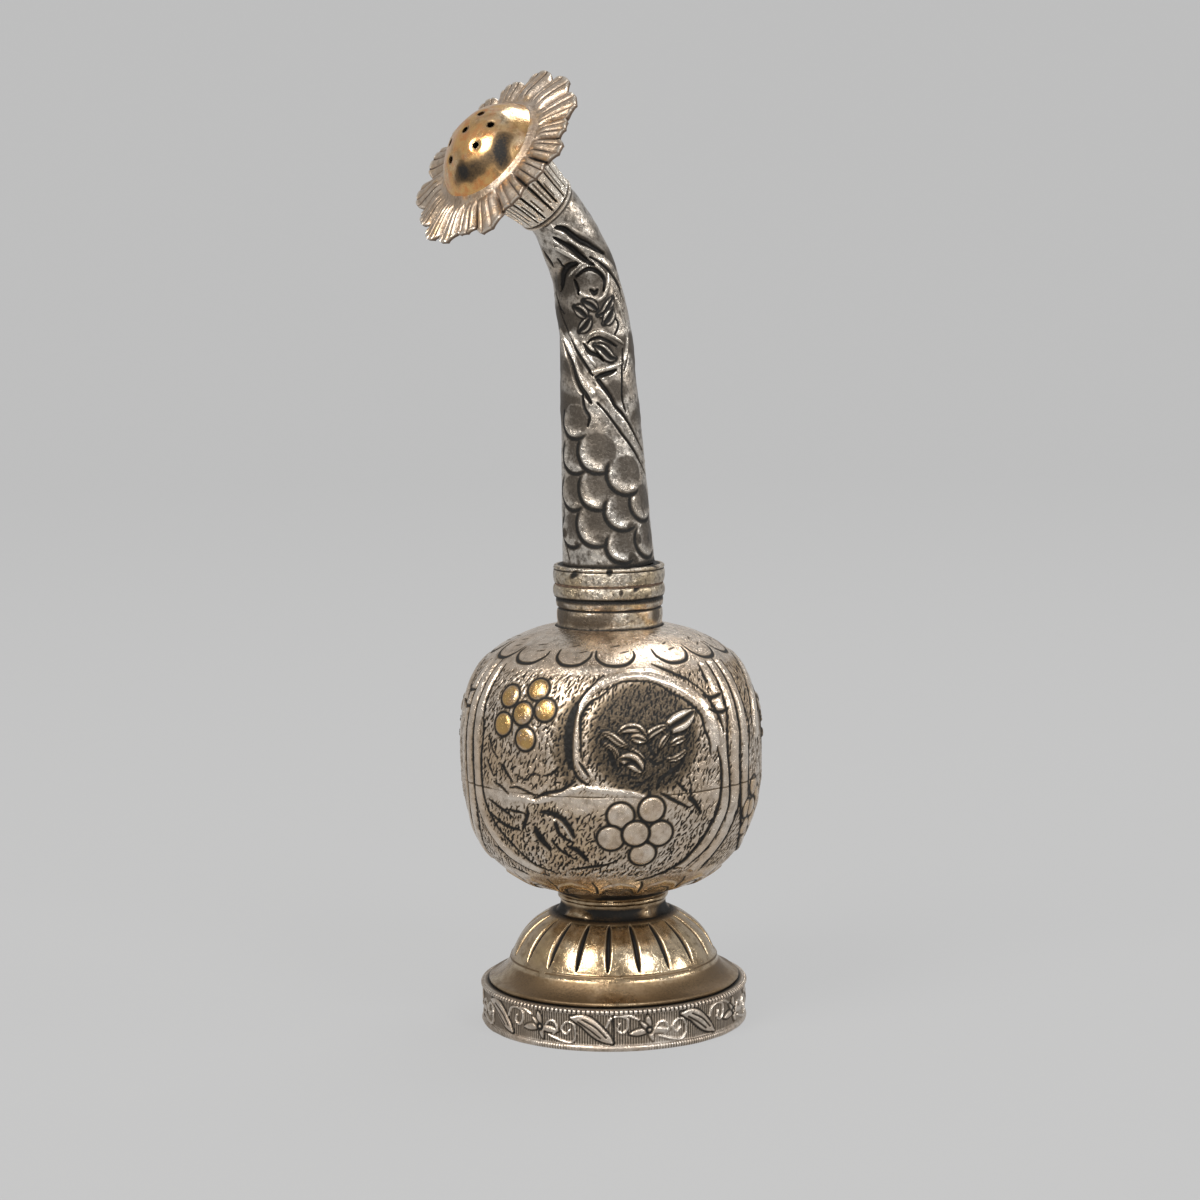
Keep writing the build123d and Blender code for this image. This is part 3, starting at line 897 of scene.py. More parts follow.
@dataclass(frozen=True)
class MetalFinish:
    """The finish of one worked metal.

    Args:
        name: of the material.
        slot: the record's slot that it stands for; not used.
        light: the clean metal.
        warm: its warmer patches.
        brown: thin oxide, and light painted shade where the oxide mask carries it.
        edge: what is rubbed bright.
        black: thick oxide, and deep painted shade where the oxide mask carries it.
        gold: gilding.
        copper: gilding where it reddens.
        bright: roughness of the clean metal.
        dull: roughness of oxide.
        cover: how much thin oxide lies on open faces.
        patch: patches to the metre.
        wear: how much of the gilding is gone.
        pits: strength of the pitting.
        scratches: strength of the scratches.
        relief: height of the bump in metres.
        gilt_all: gilding laid on all of the piece.
    """

    name: str
    slot: str
    light: Colour
    warm: Colour
    brown: Colour
    edge: Colour = (0.80, 0.725, 0.62)
    black: Colour = (0.010, 0.0088, 0.0075)
    gold: Colour = (0.72, 0.43, 0.13)
    copper: Colour = (0.62, 0.30, 0.11)
    bright: float = 0.3
    dull: float = 0.62
    cover: float = 0.5
    patch: float = 90.0
    wear: float = 0.42
    pits: float = 0.8
    scratches: float = 0.5
    relief: float = 0.00009
    gilt_all: float = 0.0

    def make(self) -> bpy.types.Material:
        """Builds the material.

        Returns:
            The material, with its shader's own plain values set on its sockets.
        """
        material, wires, shader, where = new_material(self.name)
        oxide, rub = wires.attribute(Mask.OXIDE), wires.attribute(Mask.RUB)
        gilt = wires.maths("MAXIMUM", wires.attribute(Mask.GILT), self.gilt_all)
        oxides = {"Brown": self.brown, "Black": self.black}
        under = self.place(wires, "tarnish", {
            "Vector": where, "Oxide": 0.0, "Rub": rub, "Cover": self.cover, "Patch Scale": self.patch,
            "Light": self.light, "Warm": self.warm, "Edge": self.edge, **oxides,
        })
        gilded = self.place(wires, "gilding", {
            "Vector": where, "Gilt": gilt, "Wear": self.wear, "Under": under.outputs["Color"],
            "Gold": self.gold, "Copper": self.copper,
        })
        over = self.place(wires, "tarnish", {
            "Vector": where, "Oxide": oxide, "Rub": rub, "Cover": self.cover * 0.35,
            "Patch Scale": self.patch * 2.1, **oxides,
            **dict.fromkeys(("Light", "Warm", "Edge"), gilded.outputs["Color"]),
        })
        polish = self.place(wires, "polish", {
            "Vector": where, "Mask": over.outputs["Mask"], "Rub": rub,
            "Bright": self.bright, "Dull": self.dull,
        })
        pitting = self.place(wires, "pitting", {
            "Vector": where, "Ground": wires.attribute(Mask.GROUND),
            "Pits": self.pits, "Scratches": self.scratches,
        })
        bump = wires.node("ShaderNodeBump", {"Height": pitting.outputs["Height"], "Strength": 0.6,
                                             "Distance": self.relief})
        wires.join(over.outputs["Color"], shader.inputs["Base Color"])
        wires.join(polish.outputs["Roughness"], shader.inputs["Roughness"])
        wires.join(bump.outputs["Normal"], shader.inputs["Normal"])
        wires.join(wires.maths("MULTIPLY_ADD", over.outputs["Mask"], -0.45, 1.0), shader.inputs["Metallic"])
        return material

    @staticmethod
    def place(wires: Wires, name: str, inputs: dict[str, object]) -> bpy.types.Node:
        """Places a shared effect in a material with its own values."""
        return wires.node("ShaderNodeGroup", inputs, node_tree=Effects.get(name))


@dataclass(frozen=True)
class LeatherFinish:
    """The finish of the dark leather washer.

    Args:
        name: of the material.
        colour: the leather.
        worn: its paler creases.
    """

    name: str = "dark_washer_leather"
    colour: Colour = (0.055, 0.03, 0.018)
    worn: Colour = (0.12, 0.07, 0.04)

    def make(self) -> bpy.types.Material:
        """Builds the material.

        Returns:
            The material.
        """
        material, wires, shader, where = new_material(self.name)
        crease = wires.clamp(wires.noise(where, 900.0, 4.0), 0.4, 0.65)
        wires.join(wires.mix(crease, self.colour, self.worn), shader.inputs["Base Color"])
        bump = wires.node("ShaderNodeBump", {"Height": crease, "Strength": 0.5, "Distance": 0.0001})
        wires.join(bump.outputs["Normal"], shader.inputs["Normal"])
        shader.inputs["Roughness"].default_value = 0.75
        return material


BELLY_SILVER = MetalFinish(
    name="chased_belly_silver", slot="oxidised_silver", light=(0.76, 0.67, 0.575), warm=(0.66, 0.525, 0.40),
    brown=(0.17, 0.125, 0.08), gold=(0.54, 0.345, 0.13), copper=(0.42, 0.24, 0.10), bright=0.26, cover=0.6,
    patch=70.0, wear=0.4,
)
TUBE_SILVER = MetalFinish(
    name="chased_tube_silver", slot="oxidised_silver", light=(0.66, 0.61, 0.545), warm=(0.50, 0.43, 0.355),
    brown=(0.085, 0.07, 0.055), bright=0.25, cover=1.0, patch=110.0, wear=0.6,
)
# a lighter copy of the silver: its colours are raised to paint out the shade that the petals cast on the
# calyx
CALYX_SILVER_LIGHTENED = MetalFinish(
    name="calyx_silver_lightened_against_shade", slot="oxidised_silver", light=(0.93, 0.86, 0.76), warm=(0.80, 0.68, 0.55),
    brown=(0.16, 0.125, 0.09), bright=0.26, cover=0.4, patch=150.0, wear=0.6,
)
HOOP_SILVER = MetalFinish(
    name="engraved_hoop_silver", slot="oxidised_silver", light=(0.62, 0.55, 0.475), warm=(0.55, 0.45, 0.36),
    edge=(0.72, 0.65, 0.57), brown=(0.16, 0.125, 0.09), bright=0.34, cover=0.6, patch=130.0, wear=0.6,
)
NECK_SILVER = MetalFinish(
    name="worn_neck_silver", slot="oxidised_silver", light=(0.58, 0.52, 0.44), warm=(0.46, 0.37, 0.25),
    brown=(0.11, 0.085, 0.06), bright=0.3, cover=0.95, patch=150.0, pits=1.2, relief=0.00016, wear=0.5,
)
FOOT_BRONZE = MetalFinish(
    name="gadrooned_bronze", slot="foot_bronze", light=(0.54, 0.435, 0.30), warm=(0.39, 0.275, 0.16),
    edge=(0.76, 0.63, 0.44),
    brown=(0.14, 0.09, 0.045), gold=(0.52, 0.39, 0.22), copper=(0.38, 0.26, 0.14), bright=0.2, cover=0.75,
    patch=80.0, wear=0.5, pits=0.35, scratches=0.3,
)
PETAL_GILT = MetalFinish(
    name="worn_petal_gilt", slot="gilt_silver", light=(0.57, 0.475, 0.385), warm=(0.47, 0.355, 0.25),
    edge=(0.84, 0.77, 0.67),
    brown=(0.17, 0.12, 0.085), bright=0.36, cover=0.7, patch=170.0, wear=0.62, gilt_all=0.2,
)
ROSE_GILT = MetalFinish(
    name="worn_rose_gilt", slot="gilt_silver", light=(0.80, 0.67, 0.48), warm=(0.70, 0.44, 0.20),
    edge=(0.92, 0.80, 0.58),
    brown=(0.12, 0.075, 0.035), gold=(0.76, 0.46, 0.18), copper=(0.72, 0.31, 0.11), bright=0.19, cover=0.7,
    patch=95.0, wear=0.4, gilt_all=0.35, pits=0.3, scratches=0.3, relief=0.00005,
)


class SubAssembly:
    """What every part of the sprinkler shares: how a piece is dressed and tied to its body."""

    made: ClassVar[dict[str, bpy.types.Material]] = {}
    body: Body = Body.BOTTLE

    def finish(self, piece: Piece, metal: MetalFinish, *nodes: str) -> Piece:
        """Dresses a piece, ties it to its body and hides the frame's nodes that it stands for.

        Args:
            piece: the piece.
            metal: its finish.
            nodes: the frame's nodes that it replaces.

        Returns:
            The piece.
        """
        made = self.made.get(metal.name) or self.made.setdefault(metal.name, metal.make())
        piece.data.materials.clear()
        piece.data.materials.append(made)
        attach(piece, self.body.value)
        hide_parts(*nodes)
        LOG.info("%s: %d faces, %s", piece.name, len(piece.data.polygons), metal.name)
        return piece


def turned_work(outline: Array, columns: int, spacing: float,
                about: HeadFrame | None = None) -> tuple[Chasing, Array]:
    """A turned sheet ready for its ornament.

    Args:
        outline: radius and height, one row each.
        columns: how many points round it.
        spacing: about how far apart its rows are.
        about: where its axis is, if it isn't the bottle's.

    Returns:
        The sheet, and the outline's height at each of its rows.
    """
    face = TurnedFace(outline, about)
    rows = np.linspace(0, face.lengths[-1], max(4, int(face.lengths[-1] / spacing)))
    work = Chasing(face, columns, rows, SEAM if about is None else 0.0)
    return work, np.interp(rows, face.lengths, outline[:, 1])


@dataclass
class Foot(SubAssembly):
    """The hoop with its frieze and wires, the gadrooned dome and the stem collar."""

    hoop_radius: float = 28.4
    hoop_wall: float = 1.0
    hoop_height: float = 8.9
    lip_radius: float = 25.5
    lip_outer: float = 27.5
    lip_low: float = 8.0
    lip_top: float = 8.86
    rim_wire_radius: float = 28.9
    rim_wire_height: float = 1.3
    bead_wire_radius: float = 28.98
    bead_wire_height: float = 1.1
    bead_count: int = 180
    wire_points: int = 12
    unit_pitch: float = 48.5
    unit_count: int = 7
    flange_radius: float = 27.2
    flange_thickness: float = 1.0
    crown_radius: float = 22.2
    crown_z: float = 14.0
    crown_top_radius: float = 12.4
    collar_z: float = 24.1
    gadroons: int = 20
    gadroon_turn: float = -3.4
    belly_z: float = 29.5
    waist_radius: float = 11.3
    collar_top_radius: float = 13.2
    solder: tuple[tuple[float, float, float], ...] = (
        (-50.0, 0.7, 1.2), (-42.0, 1.3, 1.4), (-34.0, 0.9, 1.3), (-27.0, 0.5, 0.9), (38.0, 1.5, 1.0),
    )

    frieze_ribs: tuple[Stroke, ...] = strokes(
        (((-3.5, 5.2), (-1.5, 7), (2, 7.5), (5.5, 6.9), (5.6, 5), (3.4, 3.9), (1.4, 4.6), (2.2, 5.9)),
         0.62, 0.3, Ends.TAIL),
        (((2, 7.5), (6.5, 7.5), (10.5, 6.6)), 0.6, 0.26),
        (((-29, 2.9), (-23, 1.9), (-18.5, 1.7), (-16.6, 3.4), (-17.6, 5.6), (-20.6, 6), (-23, 4.6),
         (-21.2, 3.4), (-19.4, 4.2)), 0.62, 0.3, Ends.TAIL),
        (((-32, 3.4), (-29.5, 5.6), (-26.5, 5.8), (-25, 4.2), (-26.8, 3.2)), 0.5, 0.24, Ends.TAIL),
    )
    flower_heart: tuple[float, float] = (15.0, 4.3)
    frieze_petals: tuple[tuple[float, float, float], ...] = (
        (6.6, 3.7, 1.5), (24.0, 3.9, 1.5), (14.2, 7.4, 1.4), (16.6, 1.9, 1.1), (11.0, 6.2, 0.9),
    )

    def build(self) -> list[Piece]:
        """Builds every piece of the foot."""
        return [self.hoop(), self.rim_wire(), self.bead_wire(), self.dome(), self.collar()]

    def hoop(self) -> Piece:
        """The upright strip with its leaf and scroll frieze."""
        face = TurnedFace(np.array([(self.hoop_radius, 0.0), (self.hoop_radius, self.hoop_height)]))
        work = Chasing(face, 960, np.linspace(0, self.hoop_height, 50))
        work.ground[:] = (ramp(1.2, 1.6, work.alongs) * (1 - ramp(7.6, 8.0, work.alongs)))[:, None]
        for k in range(self.unit_count):
            self.frieze_unit(work, FRONT + self.unit_pitch * (k - self.unit_count // 2))
        self.hatch(work)
        joint = Stroke(((FRONT - 0.5, 0.2), (FRONT - 0.4, 4), (FRONT - 0.7, 8.6)), 0.34, 0.16, Ends.EVEN)
        work.cut(joint, 0.75)
        work.hammer(5.0, 0.05, 11)
        work.shade(6, 1.2)
        work.oxide *= 1 - 0.5 * work.patch(0.2, 1.1, 7.0, 21)
        piece = work.sheet("foot_hoop_chased", self.hoop_wall, 3)
        self.add_lip(piece)
        return self.finish(piece, HOOP_SILVER, "foot_hoop")

    def frieze_unit(self, work: Chasing, turn: float) -> None:
        """One unit of the frieze: a diagonal leaf, two scrolls and a four-petalled flower."""
        leaf = Stroke(((-18.5, 7.0), (-12.5, 6.3), (-6.5, 3.9), (-1.0, 1.9)), 3.1, 0.34)
        work.raise_leaf(leaf.moved(turn))
        for vein in (Stroke(((-15.5, 6.2), (-10.5, 4.6), (-6.0, 2.9)), 0.3, 0.16),
                     Stroke(((-13.5, 6.7), (-8.0, 5.2), (-3.5, 3.0)), 0.3, 0.16)):
            work.cut(vein.moved(turn), 0.85)
        for rib in self.frieze_ribs:
            work.raise_band(rib.moved(turn), flat=0.5)
        heart = self.flower_heart
        for angle, along, width in self.frieze_petals:
            middle = ((heart[0] + angle) / 2, (heart[1] + along) / 2)
            work.raise_leaf(Stroke((heart, middle, (angle, along)), width, 0.3).moved(turn), 0.75)
        work.raise_bead(turn + heart[0], heart[1], 0.55, 0.34)

    def hatch(self, work: Chasing) -> None:
        """Fine upright cuts on the frieze's ground, and the notches of its lower border."""
        pitch = 1.15
        phase = (work.angles - FRONT) / pitch
        line = bell((phase + 0.5) % 1, 0.5, 0.24)[None, :]
        ground = np.clip(work.ground, 0, 1)
        work.height -= 0.12 * line * ground + 0.08 * ground
        work.darken((0.16 + 0.62 * line) * ground)
        low = 1 - ramp(0.9, 1.3, work.alongs)[:, None]
        notch = bell((phase * 0.92) % 1, 0.5, 0.2)[None, :]
        patch = work.patch(-0.4, 0.6, 9.0, 31)
        work.darken(0.7 * notch * low * patch)

    def add_lip(self, piece: Piece) -> None:
        """Adds the inturned lip under the dome's flange to the hoop's own mesh."""
        inner, outer, low, top = self.lip_radius, self.lip_outer, self.lip_low, self.lip_top
        ring = TurnedFace(np.array([(inner, low), (outer, low), (outer, top), (inner, top), (inner, low)]))
        angles = np.linspace(0, FULL_TURN, PLAIN_COLUMNS, endpoint=False)
        rings = ring.place(angles[None, :], ring.lengths[:-1, None])
        lip = closed_sheet("foot_hoop_lip", rings, even_oxide(rings, 0.9))
        with bpy.context.temp_override(active_object=piece, selected_editable_objects=[piece, lip]):
            bpy.ops.object.join()

    def rim_wire(self) -> Piece:
        """The worn border wire at the hoop's foot."""
        inner = self.hoop_radius + 0.08
        bulge = self.rim_wire_radius - inner - 0.05
        outline = arc_points((inner, 0.02), (inner, self.rim_wire_height), bulge, self.wire_points)
        work, _ = turned_work(outline, 900, 0.14)
        phase = work.angles / 1.25
        notch = bell(phase % 1, 0.5, 0.2)[None, :]
        patch = work.patch(-0.5, 0.5, 8.0, 33)
        work.height -= 0.09 * notch * patch
        work.darken(0.75 * notch * patch)
        work.hammer(3.0, 0.035, 12)
        return self.finish(work.sheet("foot_rim_wire_worn", 0.1, 3), HOOP_SILVER, "foot_rim_wire")

    def bead_wire(self) -> Piece:
        """The milled wire round the hoop's top edge."""
        inner = self.hoop_radius + 0.06
        low = self.hoop_height - self.bead_wire_height
        bulge = self.bead_wire_radius - inner - 0.02
        outline = arc_points((inner, low), (inner, self.hoop_height), bulge, self.wire_points)
        work, _ = turned_work(outline, 1080, 0.13)
        phase = (work.angles - FRONT) * self.bead_count / FULL_TURN
        gap = (np.abs(np.cos(math.pi * phase)) ** 6)[None, :]
        worn = 1 - 0.6 * work.patch(0.0, 0.8, 14.0, 35)
        work.height -= 0.3 * gap * worn
        work.darken(0.95 * gap * worn)
        return self.finish(work.sheet("foot_bead_wire_milled", 0.1, 3), HOOP_SILVER, "foot_bead_wire")

    def dome_outline(self) -> Array:
        """The dome's outline: a rolled flange, a hollow moulding, a bead and a full crown."""
        rim, edge = self.hoop_height + self.flange_thickness, self.flange_radius
        crown, crown_z = self.crown_radius, self.crown_z
        return profile(
            ((edge - 0.5, self.hoop_height + 0.02), (edge - 0.55, rim + 0.1), 0.52, 10),
            ((edge - 0.6, rim + 0.12), (crown + 0.35, crown_z - 0.35), -0.55, 16),
            ((crown + 0.3, crown_z - 0.3), (crown - 0.1, crown_z + 0.5), 0.3, 8),
            ((crown - 0.1, crown_z + 0.5), (self.crown_top_radius, self.collar_z), 1.68, 40),
            skip=1,
        )

    def dome(self) -> Piece:
        """The dome, with its teardrop grooves between the gadroons."""
        work, height = turned_work(self.dome_outline(), 720, 0.26)
        level = ramp(self.crown_z + 0.8, self.crown_z + 3.0, height) * (1 - ramp(22.0, 24.0, height))
        phase = (work.angles - FRONT - self.gadroon_turn) * self.gadroons / FULL_TURN
        swell = np.sqrt(np.abs(np.sin(math.pi * phase)))[None, :]
        work.height += 0.34 * level[:, None] * (swell - 1)
        for k in range(self.gadroons):
            turn = FRONT + self.gadroon_turn + FULL_TURN / self.gadroons * k
            foot = float(np.interp(self.crown_z + 1.4, height, work.alongs))
            top = float(np.interp(23.4, height, work.alongs))
            middle = foot + (top - foot) * 0.45
            tear = Stroke(((turn, foot), (turn, middle), (turn, top)), 1.05, 0.7)
            work.cut(tear, 1.0, 0.1)
        low = float(np.interp(self.crown_z + 0.1, height, work.alongs))
        for k in range(8):
            start = FRONT - 175 + 45 * k
            work.cut(Stroke(((start, low), (start + 22, low + 0.1), (start + 40, low)), 0.5, 0.12), 0.55)
        work.darken((0.8 * ramp(23.1, 24.1, height))[:, None])
        flange = (0.5 * (1 - ramp(self.crown_z - 1.2, self.crown_z - 0.4, height)))[:, None]
        work.darken(flange * work.patch(-1.2, 0.6, 9.0, 42))
        work.hammer(6.0, 0.06, 14)
        work.shade(10, 1.2)
        high = 0.75 * ramp(self.crown_z, 17.0, height)
        work.gilt[:] = high[:, None] * work.patch(-0.9, 0.5, 12, 41)
        return self.finish(work.sheet("foot_dome_gadrooned", 1.0, 8), FOOT_BRONZE, "foot_dome")

    def collar(self) -> Piece:
        """The waisted collar with a thin lip under the belly."""
        waist, waist_z, lip_z = self.waist_radius, self.collar_z + 2.0, self.belly_z - 2.1
        outline = profile(
            ((self.crown_top_radius + 0.1, self.collar_z), (waist + 0.25, lip_z - 0.4), -0.55, 14),
            ((waist + 0.3, lip_z - 0.35), (waist + 0.4, lip_z + 0.6), 0.75, 8),
            ((waist + 0.35, lip_z + 0.65), (self.collar_top_radius, self.belly_z), -0.2, 8),
        )
        work, height = turned_work(outline, 420, 0.16)
        low = 0.95 * (1 - ramp(waist_z - 0.3, lip_z - 0.5, height))
        dark = np.maximum(low, ramp(lip_z + 0.7, lip_z + 1.3, height))
        patch = work.patch(-0.7, 0.5, 5.0, 43)
        work.darken(dark[:, None] * (0.45 + 0.55 * patch))
        for angle, along, size in self.solder:
            distance = work.distance(FRONT + angle, along)
            lump = bell(distance, 0, size)
            work.height += 0.5 * lump
            work.oxide *= 1 - 0.85 * lump
        work.hammer(3.0, 0.1, 15)
        return self.finish(work.sheet("stem_collar_worn", 1.6, 5), FOOT_BRONZE, "stem_collar")


@dataclass
class Belly(SubAssembly):
    """The belly's two shells, chased with three panels of a roundel, flowers and leaves."""

    radius: float = 32.5
    upper_half: float = 27.03
    lower_half: float = 31.55
    fullness: float = 2.7
    middle: float = 60.0
    seam_drop: float = 5.4
    top: float = 26.37
    bottom: float = -30.5
    wall: float = 1.0
    proud: float = 0.44
    columns: int = 690
    upper_rows: int = 134
    lower_rows: int = 124
    panels: int = 3
    panel_turn: float = FRONT - 3.0

    gold_flower: Path = (
        (-40.5, 14.4), (-27.5, 16.2), (-22.7, 12.3), (-41.5, 8.6), (-30.3, 6.1), (-32.5, 11.2),
    )
    pale_flower: Path = (
        (6.2, -9.3), (17.8, -8.2), (2.4, -14.2), (21.5, -13.6), (15.2, -18.0), (12.0, -13.3),
    )
    far_flower: Path = (
        (-48.0, -7.0), (-53.0, -11.5), (-43.0, -9.5), (-50.5, -15.6), (-43.5, -14.4), (-48.0, -11.6),
    )
    roundel_rib: tuple[Stroke, ...] = strokes(
        (((-6.2, -0.6), (-9.2, 2.2), (-10.2, 5), (-10, 9), (-8.6, 12.8), (-6, 15.4), (-3, 16.9),
         (0.6, 18)), 1.75, 0.42, Ends.EVEN),
        (((-1, 17.6), (4, 18.5), (10, 19.1), (16, 19.1), (21.5, 18.9)), 2.3, 0.42, Ends.EVEN),
        (((20, 19.0), (25.5, 18.2), (31, 17.0), (36, 15.2), (40.5, 12.8), (43.2, 10), (44.8, 7),
         (45, 4.2)), 3.1, 0.42, Ends.EVEN),
    )
    roundel_lines: tuple[Stroke, ...] = strokes(
        (((-7.8, 3), (-8, 7), (-8.1, 11), (-4.9, 14), (-1, 15.2), (3.5, 17)), 0.62, 0.4),
        (((3.5, 17), (8, 17.9), (14, 18.0), (19.5, 17.8)), 0.5, 0.25),
        (((19.5, 17.8), (24, 17), (28, 15.5), (33, 14), (37, 12), (39.5, 10), (40.3, 7.5), (42, 5),
         (42.5, 2)), 0.7, 0.45),
        (((-11.4, 0.6), (-12.3, 2.5), (-12.7, 5), (-12.5, 8), (-11.7, 11.2), (-10, 13.6)), 2.3, 0.85),
        (((-11.6, 11.2), (-8.7, 14.8), (-5.5, 16.8), (0, 19.2)), 0.75, 0.45, Ends.TAIL),
        (((23, 20.9), (27, 20.1), (31, 19.3), (37, 17.8), (41, 16)), 0.8, 0.5),
        (((41, 16), (43.5, 14.5), (47, 11), (48.5, 8.5), (49.5, 6.2)), 0.75, 0.4),
        (((-8.5, 2), (-5, -1)), 0.7, 0.5),
        (((-11.5, 1.2), (-9, -1.4), (-5.5, -2.7)), 0.75, 0.5),
        (((31, 2.7), (29.3, 0.9), (25, -0.5), (21, -2), (19.6, -4)), 1.15, 0.6),
        (((18, -3), (14, -4.6)), 0.6, 0.3),
        (((10, -3.5), (14, -2.6), (18.5, -0.8)), 0.6, 0.3),
    )
    roundel_leaves: tuple[Stroke, ...] = strokes(
        (((23.6, 7.8), (27, 9.0), (31, 9.9), (36, 11.4)), 3.0, 0.42),
        (((15.2, 6.2), (18, 7.7), (21, 8.5), (24.2, 9)), 1.3, 0.4),
        (((20.6, 4.2), (22.6, 6), (25.4, 7.6)), 0.95, 0.4),
        (((25, 5.1), (28, 5.8), (31.6, 6.3)), 1.2, 0.36),
        (((5.6, 8.0), (9, 8.9), (13, 8.7), (16.2, 6.9)), 1.5, 0.42),
        (((-0.5, 8.2), (3, 7.4), (6, 6.1), (9.5, 4.9)), 1.2, 0.45),
        (((9.5, 4.9), (12.5, 3.6), (15.3, 2.3)), 0.9, 0.36),
        (((10.2, 7.0), (13.0, 6.7), (16.0, 6.0)), 1.5, 0.4),
        (((23.2, 2.2), (27, 2.2), (32, 3.8)), 1.0, 0.4),
        (((-0.5, 6.1), (3, 5.0), (5.2, 3.2), (5.2, 0.5)), 0.85, 0.4),
        (((6.0, 2.7), (10.5, 2.2), (14.5, -0.2)), 2.3, 0.34),
    )
    roundel_cuts_and_shadow: tuple[Stroke, ...] = strokes(
        # the first stroke is a wide dark cut that paints the shadow a leaf casts; the rest are cut lines
        (((2.4, 4.6), (3.4, 2.6), (4.4, 0.6)), 1.5, 0.6),
        (((25.5, 8.6), (29.5, 9.4), (33.5, 10.6)), 0.4, 0.2),
        (((7.5, 1.4), (11, 1.6), (13.5, 0.3)), 0.8, 0.35),
        (((16.5, 2.6), (19, 1.4), (22.5, 1.6)), 0.9, 0.4),
        (((16.8, 5.0), (18.5, 3.4), (20.2, 3.0)), 0.8, 0.4),
        (((4.5, -0.6), (8.5, -0.9), (12.5, -1.6)), 0.55, 0.3),
    )
    twigs: tuple[Stroke, ...] = strokes(
        (((-50, -7.8), (-45.5, -8.8), (-41, -9.8), (-37, -11)), 0.75, 0.45),
        (((-50.5, -10.8), (-44.5, -12.5), (-39, -13.3), (-34.5, -13.5)), 0.85, 0.5),
        (((-40, -9.3), (-36, -9.4), (-31.5, -9.6)), 0.6, 0.4),
        (((-30, -8.3), (-30.3, -10), (-33.5, -13.3)), 0.95, 0.5),
        (((-24.5, -9), (-20.5, -9), (-16, -10), (-13, -12), (-11.5, -14.3)), 1.3, 0.7),
        (((-18.5, -11.3), (-17, -13.7), (-12, -15.4)), 1.0, 0.55, Ends.TAIL),
        (((-27.2, -12.2), (-26, -14.5), (-22, -17.2)), 1.7, 0.8),
        (((-20.7, -15.3), (-17.5, -17.3), (-12.5, -19.2)), 0.7, 0.45),
        (((-14.6, -16.2), (-10.7, -17.2), (-7.0, -19.6)), 1.25, 0.65),
        (((-50, 1), (-46, -2.5)), 0.6, 0.35),
        (((-42, 0.4), (-36, -3.2)), 0.7, 0.4),
        (((-46, -3.8), (-42, -4.5), (-38.5, -5.8)), 0.6, 0.35),
        (((27, -2.6), (31.5, -5)), 0.7, 0.45),
        (((21, -4.8), (25.5, -6.3), (32, -8.3)), 0.8, 0.5),
        (((33, -6.5), (35, -7.5), (38.5, -10)), 1.25, 0.65, Ends.TAIL),
        (((16.6, -4.2), (17.6, -6.4), (22, -8.2)), 1.3, 0.65),
        (((32.5, -2.0), (33.4, -4.0), (33.4, -6.0)), 0.4, 0.25),
        (((-25.5, -6), (-22, -4.9), (-16, -4.1), (-12.5, -2.9), (-10, -2)), 0.8, 0.5),
        (((-37.5, -4.5), (-33.5, -4.2), (-26, -5.6)), 0.55, 0.35),
        (((-15, -21.7), (-7, -21), (0, -20.3), (4, -19.5)), 0.7, 0.4),
        (((-22, -1.2), (-19, -0.6), (-16.5, 0.8)), 0.6, 0.35),
        (((-34, -1.6), (-30, -2.4), (-27, -1.0), (-24, -1.2)), 0.45, 0.22),
        (((-49, 5.6), (-46.5, 3.0), (-43.6, 1.4)), 0.5, 0.28),
        (((-55, -18.4), (-50, -19.4), (-45, -20.6)), 0.7, 0.4),
        (((-50, -23.2), (-45.5, -23.6), (-41, -24.2)), 0.7, 0.35),
    )
    branch_ribs: tuple[Stroke, ...] = strokes(
        (((-26, -7.0), (-20, -5.8), (-13, -4.4), (-7, -3.2)), 1.7, 0.26),
        (((-7, -3.4), (2, -4.0), (10, -4.6), (16, -5.6)), 1.6, 0.22),
        (((-40, -6.8), (-33, -6.4), (-26, -7.0)), 1.4, 0.22),
        (((-17.5, -10.2), (-14.5, -12.0), (-12.5, -14.6)), 0.9, 0.34),
    )
    frame_ribs: tuple[Stroke, ...] = strokes(
        (((50.5, 19.5), (49.8, 10), (48.8, 4), (50.4, -4), (50.4, -9.5), (46.6, -14.5), (42, -18.2),
         (35, -21.6)), 2.1, 0.32, Ends.EVEN),
        (((56.5, 19.5), (56.2, 10), (56.0, 0), (56.5, -8), (53.4, -14.5), (49, -18.9), (43, -22.8)), 2.6,
         0.4, Ends.EVEN),
        (((63.0, 19.5), (62.6, 10), (63.2, 0), (63.4, -9), (66.0, -14.0), (71.0, -17.6), (78, -20.4),
         (88, -22.6)), 2.4, 0.36, Ends.EVEN),
    )
    frame_lines: tuple[Stroke, ...] = strokes(
        (((45.6, 3.5), (47.5, 0), (48, -5), (47, -9.5), (44, -13), (39, -17.5), (33, -21), (23, -23.5),
         (14, -24.6)), 0.75, 0.5),
        (((53.6, 20.4), (52.8, 10), (51.6, 3), (53.2, -8), (49.5, -14), (45, -18.5), (38, -22)), 0.6,
         0.35),
        (((60, 21), (59.6, 10), (59.5, 0), (60, -9), (57, -15), (52, -20), (48, -24)), 0.7, 0.42),
        (((60, -2), (61.5, -11), (70, -19), (80, -22), (92, -23.8)), 0.7, 0.42),
        (((66.4, 20), (65.6, 12), (67.4, 6), (66.2, 0), (67, -8), (70.5, -12.3), (75.5, -15.6),
         (80.5, -18), (87, -21), (97, -23)), 0.62, 0.4),
        (((47.6, 20), (46.6, 16.5)), 0.5, 0.25),
    )
    shoulder_strokes: tuple[Stroke, ...] = strokes(
        (((42, 14.3), (47, 13.6), (52, 14.0)), 0.7, 0.35),
        (((43.4, 11.3), (49, 10.4), (54, 10.9)), 0.65, 0.3),
    )
    scallops: tuple[float, ...] = (-63.0, -41.0, -17.0, 6.5, 36.0, 59.0)

